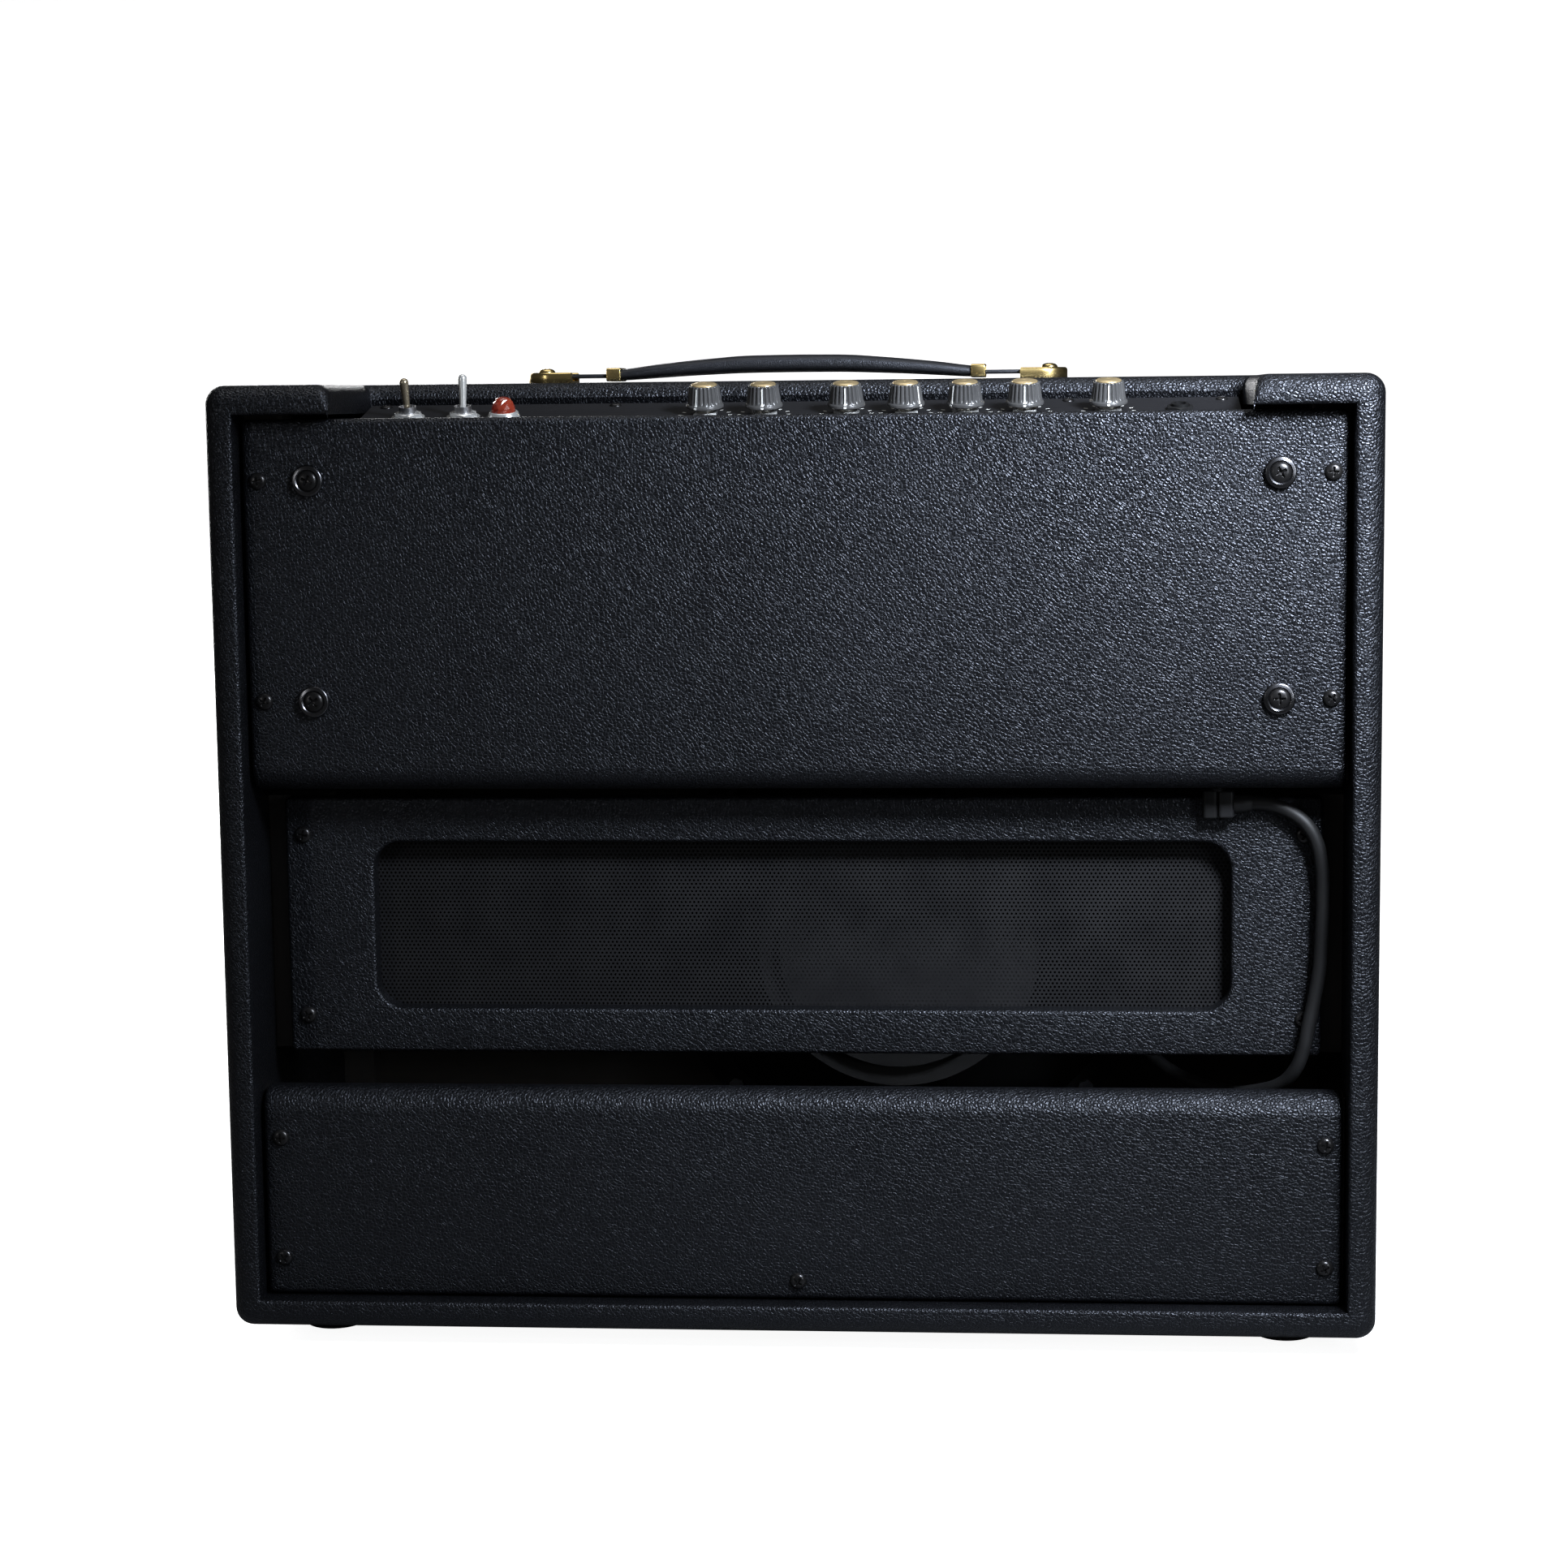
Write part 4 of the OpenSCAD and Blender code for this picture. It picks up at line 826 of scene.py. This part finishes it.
mesh_piece = piece("perforated_sheet", screen, "cabinet", screen_paint, ["mesh_screen"])
if mesh_piece.data.polygons[0].normal.y < 0:
    mesh_piece.data.flip_normals()
print("holes", len(cells), "triangles", 12 * len(cells))

# %% Screen frame
# The sheet's solid border, folded forward round its edge.
border = (screen_high - screen_low)[[0, 2]]
border_mid = (0, middle("mesh_screen")[2])
y0, y1 = screen_low[1], screen_high[1] - 0.0002
y2 = y1 - 0.001
rows = [
    ring_at(size, radius, y, border_mid, steps=6)
    for size, radius, y in (
        (border, 0.003, y0), (border, 0.003, y1), (window + 0.004, 0.012, y1),
        (window + 0.004, 0.012, y2), (border - 0.002, 0.002, y2), (border - 0.002, 0.002, y0),
    )
]
piece("screen_border", skin(rows, ring=True), "cabinet", screen_paint)
print("border, mm:", border / MM)

# %% [markdown]
# ## Screws, bolts and washers
# The boards are held by black pan-head screws, and the chassis by bolts in turned cup
# washers. A head is a height over a disc of polar coordinates: a dome, less a cross-shaped
# recess with soft walls. Every screw stops at its own angle, so each gets its own spin.


# %% Screw heads
def cross_head(radius, height, arm, arm_half, depth, spin=0.0):
    """h(r, t) = height (1 - 0.45 (r/R)^2) falling to a rounded rim, minus depth inside a
    cross whose arms reach arm from the middle."""
    r = radius * np.sin(np.radians(np.linspace(0, 90, 26)))[:, None]
    t = turns(64)[None, :] + spin
    u, v = np.abs(r * np.cos(t - spin)), np.abs(r * np.sin(t - spin))
    low, high = np.minimum(u, v), np.maximum(u, v)
    soft = 0.00018
    inside = np.clip((arm_half - low) / soft, 0, 1) * np.clip((arm - high) / soft, 0, 1)
    share = r / radius
    dome = height * (1 - 0.45 * share**2) * np.sqrt(np.clip(1 - share**8, 0, 1))
    h = dome - depth * inside * (1 - 0.4 * high / arm)
    rows = np.stack([r * np.cos(t), r * np.sin(t), h + 0 * t], -1)
    return skin(rows[::-1], caps=False)


upper_high = span("upper_rear_panel")[1]
lower_low = span("lower_rear_panel")[0]
board_y = upper_high[1]
both = (-1, 1)
# how far in from its board's ends, and up or down from its edge, each screw sits
END_IN, INNER_END_IN, BOLT_IN = 0.0082, 0.0098, 0.035
UPPER_DOWN, LOWER_UP, INNER_UP, MIDDLE_UP = (0.032, 0.148), (0.020, 0.086), (0.020, 0.119), 0.010
edge_x = upper_high[0] - END_IN
inner_x = panel_high[0] - INNER_END_IN
upper_z = upper_high[2] - np.array(UPPER_DOWN)
screw_spots = [(s * edge_x, board_y, z) for s in both for z in upper_z]
lower_z = lower_low[2] + np.array(LOWER_UP)
screw_spots += [(s * (edge_x - 0.001), board_y, z) for s in both for z in lower_z]
screw_spots += [(0, board_y, lower_low[2] + MIDDLE_UP)]
inner_z = panel_low[2] + np.array(INNER_UP)
screw_spots += [(s * inner_x, inner_face, z) for s in both for z in inner_z]
screw_head = (0.0046, 0.0026, 0.0025, 0.00055, 0.0016)
heads = [
    place(cross_head(*screw_head), spot, (0, 1, 0), 0.9 * i)
    for i, spot in enumerate(screw_spots)
]
piece("pan_screws", heads, "cabinet", black_steel, ["panel_screws"], sharp=55)
print("screws", len(heads))

# %% Chassis bolts in cup washers
bolt_x = upper_high[0] - BOLT_IN
washer_line = [
    (0.0029, 0.0002), (0.0060, 0.0032), (0.0062, 0.0033), (0.0066, 0.0032),
    *arc(0.0012, (0.0071, 0.0019), 75, 10, 5), (0.0083, 0.0008), (0.0083, 0.0),
]
bolt_spots = [(s * bolt_x, board_y, z) for s in both for z in upper_z]
washers = [place(lathe(washer_line, 64), spot, (0, 1, 0)) for spot in bolt_spots]
piece("washers", washers, "cabinet", dark_nickel, ["cup_washers"])
bolt_head = (0.0054, 0.0022, 0.0031, 0.00065, 0.0017)
bolts = [
    place(cross_head(*bolt_head), np.array(spot) + (0, 0.0022, 0), (0, 1, 0), 0.5 + 1.1 * i)
    for i, spot in enumerate(bolt_spots)
]
piece(
    "chassis_bolt_heads", bolts, "cabinet", black_steel, ["chassis_bolts"], sharp=55
)
print("bolts", len(bolts), "at x", round(bolt_x / MM, 1))

# %% [markdown]
# ## Controls
# The control plate leans 12 degrees to the rear, so everything on it shares one slanted
# frame: an origin on the plate's top face and a direction out of it. Knobs are a fluted body
# with a painted pointer and a spun gold cap, switches are nickel levers in hexagonal nuts,
# and the lamp is a faceted red jewel in a nickel bezel.

# %% The plate's own frame
lean = math.radians(12)
PLATE_IN, PLATE_DOWN = 0.062, 0.018
plate_mid = np.array((0.0, rear_y - PLATE_IN, top_z - PLATE_DOWN))
plate_out = np.array((0.0, math.sin(lean), math.cos(lean)))
knob_x = [middle(f"knob_cap_{i}")[0] for i in range(1, 8)]
bat_x = [middle(f"toggle_bat_{i}")[0] for i in (1, 2)]
lamp_x = middle("lamp_bezel")[0]
input_x = -0.203


def on_plate(part, x, up=0.0, spin=0.0):
    """Stands a part on the plate at x, up metres along the plate's direction."""
    return place(part, plate_mid + (x, 0, 0) + up * plate_out, plate_out, spin)


print("knobs at, mm:", [round(float(x) / MM, 1) for x in knob_x])


# %% Fluted knobs
SKIRT_R, CONE_R, KNOB_TOP_R, KNOB_LOW, KNOB_HIGH = 0.010, 0.0093, 0.008, 0.004, 0.016
FLUTES, FLUTE_DEPTH = 22, 0.00065


def knob_body():
    """Radius at height h and angle t: the taper from skirt to top, minus the flutes' depth
    times ((1 + cos(flutes t)) / 2)^2, which cuts narrow round flutes with wide lands."""
    t = turns(12 * FLUTES)[None, :]
    cut = ((1 + np.cos(FLUTES * t)) / 2) ** 2
    low, high = KNOB_LOW, KNOB_HIGH
    outline = [(0.0076, low + 0.0018, 0), (0.0076, low + 0.0002, 0), (0.0078, low, 0)]
    outline += [(SKIRT_R - 0.0003, low, 0), (SKIRT_R, low + 0.0003, 0), (SKIRT_R, low + 0.0014, 0)]
    outline += [(SKIRT_R - 0.0002, low + 0.0018, 0), (SKIRT_R - 0.0006, low + 0.0020, 0)]
    for share in np.linspace(0, 1, 14):
        taper = CONE_R + (KNOB_TOP_R - CONE_R) * share
        outline.append((taper, low + 0.0021 + (high - low - 0.0027) * share, min(1.0, share * 6)))
    for a in np.radians((20, 45, 70, 90)):
        r, h = KNOB_TOP_R - 0.0006 * (1 - math.cos(a)), high - 0.0006 + 0.0006 * math.sin(a)
        outline.append((r, h, 1 - a / 2.2))
    outline += [(KNOB_TOP_R - 0.0011, high, 0), (KNOB_TOP_R - 0.0012, high - 0.0006, 0)]
    outline += [(0.0, high - 0.0008, 0)]
    r, h, share = np.array(outline).T[:, :, None]
    radius = r - FLUTE_DEPTH * cut * share
    return skin(np.stack([radius * np.cos(t), radius * np.sin(t), h + 0 * t], -1), caps=False)


def spun_cap(radius=0.00675, low=0.0152, high=0.0171):
    """A shallow dome with two fine turned steps and a small dimple in the middle."""
    line = [(radius - 0.0002, low), (radius, low + 0.0003), (radius, high - 0.0010)]
    line += arc(0.0005, (radius - 0.0005, high - 0.0010), 20, 90, 4)
    line += [(radius * s, high - d) for s, d in ((0.86, 0.00045), (0.84, 0.0006), (0.80, 0.0005))]
    line += [(radius * s, high - 0.0004 * s * s) for s in (0.7, 0.55, 0.4, 0.28)]
    line += [(radius * 0.2, high - 0.0001), (radius * 0.12, high - 0.0003), (0.0, high - 0.0004)]
    return lathe(line, 72)


def pointer():
    """A painted line up the knob's side: half width w(h) = 0.35 mm on the taper and an oval
    of 0.85 mm on the skirt, standing 0.12 mm proud. It faces +Y before the knob turns."""
    rows = []
    low, tall = KNOB_LOW, KNOB_HIGH - KNOB_LOW
    for share in np.linspace(0, 1, 16):
        h = low + 0.0005 + (tall - 0.0014) * share
        side = CONE_R + (KNOB_TOP_R - CONE_R) * (h - low - 0.0021) / (tall - 0.0027)
        r = SKIRT_R if h < low + 0.0016 else min(side, SKIRT_R - 0.0006)
        w = 0.00035 + 0.0005 * math.exp(-(((h - low - 0.0016) / 0.0014) ** 2))
        line = ((-w, -0.0006), (-w, 0.00012), (0, 0.0002), (w, 0.00012), (w, -0.0006))
        rows.append([(x, r + out, h) for x, out in line])
    return skin(rows)


REST_TURNS = (-25, 0, 0, 55, -48, 0, 0)
for number, (x, degrees) in enumerate(zip(knob_x, REST_TURNS), 1):
    body, turn_by = f"knob_body_{number}", math.radians(degrees)
    stem = lathe([(0.0, 0.0), (0.00315, 0.0), (0.00315, 0.0155), (0.0, 0.0155)], 32)
    part = [on_plate(knob_body(), x, 0, turn_by), on_plate(stem, x, 0.001)]
    piece(f"fluted_knob_{number}", part, body, knob_black, [f"knob_{number}"])
    line = on_plate(pointer(), x, 0, turn_by)
    piece(f"pointer_line_{number}", line, body, dial_white)
    cap = on_plate(spun_cap(), x)
    piece(f"gold_cap_{number}", cap, body, gold_cap, [f"knob_cap_{number}"])
print("knobs", len(knob_x))


# %% Nuts and rings
def hex_nut(across, bore, height, low=0.0):
    """A nut across its flats: at angle t its wall is at apothem / cos(t to the nearest
    flat), and a 30 degree chamfer lowers the corners of the top."""
    t = turns(96)
    flat = across / 2
    wall_r = flat / np.cos((t + math.pi / 6) % (math.pi / 3) - math.pi / 6)
    corner_drop = (wall_r - flat * 0.97) * math.tan(math.radians(30))
    lines = ((bore, 0), (bore, height - 0.0004), (bore + 0.0004, height),
             (flat * 0.97, height), (wall_r, height - corner_drop), (wall_r, 0))
    rows = [
        np.column_stack(np.broadcast_arrays(r * np.cos(t), r * np.sin(t), low + h))
        for r, h in lines
    ]
    return skin(rows, ring=True)


nuts = [on_plate(hex_nut(0.0121, 0.0048, 0.002), x, 0, 0.4 * i) for i, x in enumerate(knob_x)]
WASHER = ((0.0061, 0), (0.0061, 0.0008), (0.0087, 0.0008), (0.0089, 0.0006), (0.0089, 0))
for i, x in enumerate(bat_x):
    nuts.append(on_plate(lathe(WASHER, 64, ring=True), x))
    nuts.append(on_plate(hex_nut(0.0142, 0.0061, 0.002, 0.0008), x, 0, 0.3 + i))
jack_nut = hex_nut(0.0132, 0.0048, 0.0024)
nuts.append(place(jack_nut, (plug_x, jack_y, span("chassis_tray")[0][2]), (0, 0, -1)))
piece("bright_nuts", nuts, "cabinet", bright_nickel, ["control_nuts"], sharp=30)
part = on_plate(jack_nut, input_x)
piece("black_jack_nut", part, "cabinet", moulded_black, sharp=30)
print("nuts", len(nuts) + 1)


# %% Switch levers
def lever(length=0.023):
    """A bat lever: slim at the collar, widening evenly and closed by a round end."""
    line = [(0.0, -0.0029), *arc(0.0029, (0, 0), -75, 55, 8), (0.0015, 0.0027), (0.00155, 0.004)]
    line += [(0.00155 + 0.00085 * s, 0.004 + (length - 0.0065) * s) for s in np.linspace(0.1, 1, 8)]
    line += arc(0.0024, (0, length - 0.0025), 8, 90, 8)
    return lathe(line, 40)


LEVERS = ((24, warm_nickel), (0, satin_nickel))
for number, (x, (angle, metal)) in enumerate(zip(bat_x, LEVERS), 1):
    way = (0, math.sin(math.radians(angle)), math.cos(math.radians(angle)))
    part = place(lever(), plate_mid + (x, 0, 0), way)
    node = f"toggle_bat_{number}"
    piece(f"bat_lever_{number}", part, f"toggle_{number}", metal, [node])
COLLAR = (
    (0.0039, 0.0062), (0.0044, 0.0062), (0.0046, 0.0060), (0.0046, 0.0030), (0.0060, 0.0029),
    (0.0060, 0.0002), (0.0033, 0.0002), (0.0033, 0.003),
)
collars = [on_plate(lathe(COLLAR, 48, ring=True), x) for x in bat_x]
piece("lever_collars", collars, "cabinet", bright_nickel)
print("levers", len(bat_x))

# %% Lamp
BEZEL = (
    (0.0086, 0.0), (0.0086, 0.0006), (0.0082, 0.0012), (0.0078, 0.0026), (0.0074, 0.003),
    (0.0066, 0.0031), (0.0064, 0.0026), (0.0064, 0.0),
)
part = on_plate(lathe(BEZEL, 64, ring=True), lamp_x)
piece("lamp_ring", part, "cabinet", bright_nickel, ["lamp_bezel"])


def jewel(sides=12):
    """Rings of flat facets: each ring turns half a facet from the last, and the radius
    follows an ellipse from the bezel up to a small table."""
    rows = []
    rings = ((6.2, 2.0), (6.2, 5.2), (5.4, 7.8), (4.0, 9.7), (2.2, 10.5))
    for k, (r, h) in enumerate(np.array(rings) * MM):
        t = (np.arange(sides) + 0.5 * (k % 2)) * 2 * math.pi / sides
        rows.append(np.column_stack([r * np.cos(t), r * np.sin(t), np.full(sides, h)]))
    return skin(rows)


part = on_plate(jewel(), lamp_x)
piece("red_jewel", part, "cabinet", jewel_red, ["lamp_jewel"], sharp=4)
print("lamp at, mm:", round(float(lamp_x) / MM, 1))

# %% Dial marks
# Eleven short painted strokes fan round each knob over 290 degrees. They carry no letters.
BAR = np.array([(x, y, z) for x in both for y in (0, 1) for z in (0, 1)])
BAR_FACES = [[0, 1, 3, 2], [4, 6, 7, 5], [0, 4, 5, 1], [2, 3, 7, 6], [0, 2, 6, 4], [1, 5, 7, 3]]
stroke = BAR * (0.0004, 0.0022, 0.00008) + (0, 0.0122, 0)
strokes = []
for x in knob_x:
    for angle in np.radians(np.linspace(-145, 145, 11)):
        c, s = math.cos(angle), math.sin(angle)
        turned = stroke @ np.array(((c, s, 0), (-s, c, 0), (0, 0, 1)))
        strokes.append(on_plate((turned, BAR_FACES), x, 0.00001))
piece("dial_marks", strokes, "cabinet", dial_white)
corner_screws = [
    on_plate(place(cross_head(0.0034, 0.0016, 0.0019, 0.0004, 0.0011), (0, side * 0.0255, 0)), x)
    for x in (0.226, 0.1, -0.1445, -0.226) for side in both
]
piece("plate_screws", corner_screws, "cabinet", black_steel, sharp=55)
print("strokes", len(strokes), "plate screws", len(corner_screws))

# %% [markdown]
# ## Handle
# A flexible carrying handle: a moulded grip, drawn down at both ends into flat brass
# ferrules, with short straps on to brass end caps. Seen from the side the grip is an arch,
# so it is lofted along X: each station has its own height, width and rounding.

# %% Grip
handle_mid = np.array((*middle("handle_plates")[:2], top_z))
arch_x = np.array((0, 30, 60, 84, 93, 98)) * MM
arch_top = np.array((14.4, 14.1, 11.6, 9.1, 7.6, 6.9)) * MM
arch_low = np.array((4.6, 4.4, 3.2, 1.8, 1.2, 1.0)) * MM
arch_half = np.array((13.0, 13.0, 12.9, 12.4, 11.6, 10.6)) * MM


def grip_rows():
    """Stations along X. The section is a superellipse |y/a|^3 + |z/b|^3 = 1 between the
    arch's lower and upper lines, which are smooth through the six places above."""
    bend = np.linspace(60, 98, 16)
    x = np.concatenate([-bend[::-1], np.linspace(-60, 60, 31)[1:-1], bend]) * MM
    nearby = np.abs(x + np.linspace(-8, 8, 9)[:, None] * MM)
    top, low, half = (
        np.interp(nearby, arch_x, values).mean(0) for values in (arch_top, arch_low, arch_half)
    )
    t = turns(40)
    cy, cz = (np.sign(v) * np.abs(v) ** (2 / 3) for v in (np.cos(t), np.sin(t)))
    rows = [
        np.column_stack([h * cy, (a + b) / 2 + (a - b) / 2 * cz]) for a, b, h in zip(top, low, half)
    ]
    return np.array([np.insert(row, 0, v, 1) for row, v in zip(rows, x)]) + handle_mid


piece("moulded_grip", skin(grip_rows()), "handle", strap_skin, ["handle_grip"])


# %% Ferrules and straps
def cross_rows(s, stations, size, radius, lift, steps=6):
    """Rounded rectangles square to X at the stations, lift above the top; s = -1 mirrors."""
    return [
        np.insert(corner_loop(*size, radius, inset, steps) + (0, lift), 0, s * x, 1) + handle_mid
        for x, inset in stations
    ]


ferrules = []
for s in both:
    ends = (0.097, 0.105)
    bore = [(x, -inset) for x, inset in along(ends, 0.0002, 2)[::-1]]
    rows = cross_rows(s, along(ends, 0.0006, 4), (0.025, 0.0074), 0.0016, 0.0043)
    rows += cross_rows(s, bore, (0.022, 0.0058), 0.0008, 0.0043)
    ferrules.append(skin(rows, ring=True))
piece("brass_ferrules", ferrules, "handle", brass, ["handle_loops"])
for number, s in ((1, 1), (2, -1)):
    stations = along((0.100, 0.1293), 0.0008, 4)
    part = skin(cross_rows(s, stations, (0.020, 0.0022), 0.0009, 0.0036, 5))
    node = f"handle_strap_{number}"
    piece(f"flat_strap_{number}", part, f"strap_{number}", strap_skin, [node])
print("ferrules", len(ferrules))


# %% End caps
def pushed_in(line, inset):
    """A closed line moved inwards: each point goes along the normal of its neighbours."""
    run = np.roll(line, -1, 0) - np.roll(line, 1, 0)
    run /= np.maximum(np.linalg.norm(run, axis=1, keepdims=True), 1e-12)
    return line + inset * np.column_stack([-run[:, 1], run[:, 0]])


def end_cap(s):
    """A U-shaped cap in plan: a half circle outside, a notch for the strap inside, with a
    rounded upper edge, and a thin floor across the notch."""
    half_turn = np.radians(np.linspace(-90, 90, 33))
    straight = np.linspace(0.124, 0.136, 7)
    outline = [(x, -0.014) for x in straight[:-1]]
    outline += [(0.136 + 0.014 * math.cos(a), 0.014 * math.sin(a)) for a in half_turn]
    outline += [(x, 0.014) for x in straight[::-1][1:]]
    outline += [(0.124, 0.0124), (0.124, 0.0108), (0.1275, 0.0108), (0.131, 0.0108)]
    outline += [(0.131, y) for y in np.linspace(0.0080, -0.0080, 7)]
    outline += [(0.131, -0.0108), (0.1275, -0.0108), (0.124, -0.0108), (0.124, -0.0124)]
    line = np.array(outline)
    rows = [
        np.insert(pushed_in(line, inset), 2, z, 1)
        for z, inset in ((0.0, 0.0002), (0.0003, 0.0), (0.0043, 0.0), (0.0050, 0.0002),
                         (0.0055, 0.0006), (0.0058, 0.0012))
    ]
    floor = np.array([(0.124, -0.0109), (0.1312, -0.0109), (0.1312, 0.0109), (0.124, 0.0109)])
    base_rows = [np.insert(floor, 2, z, 1) for z in (0.0, 0.001)]
    points, faces = join([skin(rows), skin(base_rows)])
    return points * (s, 1, 1) + handle_mid, faces


piece("brass_end_caps", [end_cap(1), end_cap(-1)], "cabinet", brass, ["handle_plates"])
cap_head = (0.0046, 0.0024, 0.0026, 0.0006, 0.0016)
cap_screws = [
    place(cross_head(*cap_head), handle_mid + (s * 0.140, 0, 0.0058), spin=0.6 + s) for s in both
]
piece("brass_screws", cap_screws, "cabinet", brass, ["handle_screws"], sharp=55)
print("end caps", 2, "screws", len(cap_screws))

# %% [markdown]
# ## Grille cloth and feet
# The front is a frame with woven cloth pulled over it. The cloth is one thin sheet that runs
# across the front and folds back round the frame's edges, where it is stapled. Turned
# rubber feet carry the cabinet.

# %% Cloth
frame_low, frame_high = span("grille_frame")
cloth_size = (frame_high - frame_low)[[0, 2]]
cloth_mid = middle("grille_frame")[[0, 2]]
fold = 0.006
proud = 0.0004


def cloth_row(size, radius, y):
    """One loop of the cloth, with eleven more points in each of its outline's steps."""
    line = corner_loop(*size, radius, 0, 6)
    steps = [np.linspace(a, b, 12, endpoint=False) for a, b in zip(line, np.roll(line, -1, 0))]
    return np.insert(np.concatenate(steps), 1, y, 1)


rows = [
    cloth_row(cloth_size * share, 0.001 * share, frame_low[1] - proud)
    for share in np.linspace(0, 1, 24)
]
rows += [
    cloth_row(cloth_size + 2 * proud * math.sin(a), 0.0012, frame_low[1] - proud * math.cos(a))
    for a in np.radians((30, 60, 90))
]
rows.append(rows[-1] + (0, fold, 0))
cloth_points, cloth_faces = skin(rows, caps=False)
part = (cloth_points + (cloth_mid[0], 0, cloth_mid[1]), cloth_faces)
cloth = piece("woven_grille", part, "cabinet", grille_weave, ["grille_cloth"])
if cloth.data.polygons[len(cloth.data.polygons) // 4].normal.y > 0:
    cloth.data.flip_normals()

# %% Feet
foot_line = [(0.0, 0.004), (0.0058, 0.004), (0.006, 0.0036), (0.006, 0.0006), (0.0066, 0.0)]
foot_line += arc(0.0016, (0.0150, 0.0016), -90, 0, 6)
foot_line += [(0.0172, 0.004), (0.0186, 0.0085), (0.0189, 0.0094), (0.0186, 0.0100), (0.0, 0.0100)]
FOOT_IN, FOOT_REAR_IN, FOOT_FRONT_IN = 0.045, 0.050, 0.045
foot_x = half_width - FOOT_IN
foot_y = (rear_y - FOOT_REAR_IN, FOOT_FRONT_IN - rear_y)
foot_spots = [(s * foot_x, y, 0) for s in both for y in foot_y]
feet = [place(lathe(foot_line, 64), spot) for spot in foot_spots]
piece("rubber_feet", feet, "cabinet", rubber, ["feet"])
print("feet", len(foot_spots))

# %% [markdown]
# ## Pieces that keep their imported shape
# Boards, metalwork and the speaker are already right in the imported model, so they only need
# their finishes. Each is given its material by name.

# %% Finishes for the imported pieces
kept = {
    dark_wood: ("cleats", "grille_frame"), dark_ply: ("baffle_board",),
    bead_ivory: ("grille_piping",), frame_paint: ("speaker_basket",),
    ferrite: ("speaker_magnet",), paper: ("speaker_cone", "dust_cap"),
    zinc: ("speaker_screws", "chassis_tray", "switch_bodies"),
    bakelite: ("speaker_terminals", "circuit_board"), plate_metal: ("control_plate",),
    enamel: ("power_transformer", "output_transformer"), ceramic: ("tube_sockets",),
    valve_glass: ("small_tubes", "power_tubes"), sleeve_blue: ("filter_caps",),
    pale_metal: ("pots",), moulded_black: ("jacks", "mains_gland"),
}
for material, names in kept.items():
    for name in names:
        mesh = nodes[name].data
        mesh.materials.clear()
        mesh.materials.append(material)
print("packed pieces finished", sum(map(len, kept.values())))

# %% [markdown]
# ## Studio floor
# A pale floor that curves up into a pale wall far behind, so that it has no horizon line.

# %% Floor
floor_white, tree, shader = finish("studio floor", (0.9, 0.9, 0.9), 0.6)
speckle = stretched_noise(tree, (1.0, 1.0, 1.0), 3.0)
pale = blend_colour(tree, speckle, (0.90, 0.90, 0.90), (0.93, 0.93, 0.93))
# seen directly the floor is pale and glows a little, so that it meets the white room without
# an edge; to everything else it is dull, so that it throws no light up at the black vinyl
ray = add_node(tree, "ShaderNodeLightPath").outputs["Is Camera Ray"]
paint(tree, shader, ray, (0.18, 0.18, 0.18), pale)
glow = math_node(tree, "MULTIPLY", ray, 0.93)
feed(tree, shader, Emission_Color=WHITE, Emission_Strength=glow)
x = np.linspace(-6, 6, 25)
turn_y, turn_r = -1.6, 1.2
path = [(3.0, 0.0), (turn_y, 0.0)]
path += [
    (turn_y - turn_r * math.sin(a), turn_r - turn_r * math.cos(a))
    for a in np.radians(np.linspace(6, 90, 15))
]
path += [(turn_y - turn_r, 4.0)]
rows = [np.column_stack(np.broadcast_arrays(x, y, z)) for y, z in path]
floor = mesh_object("floor", skin(rows, loop=False), floor_white)
print("floor faces", len(floor.data.polygons))
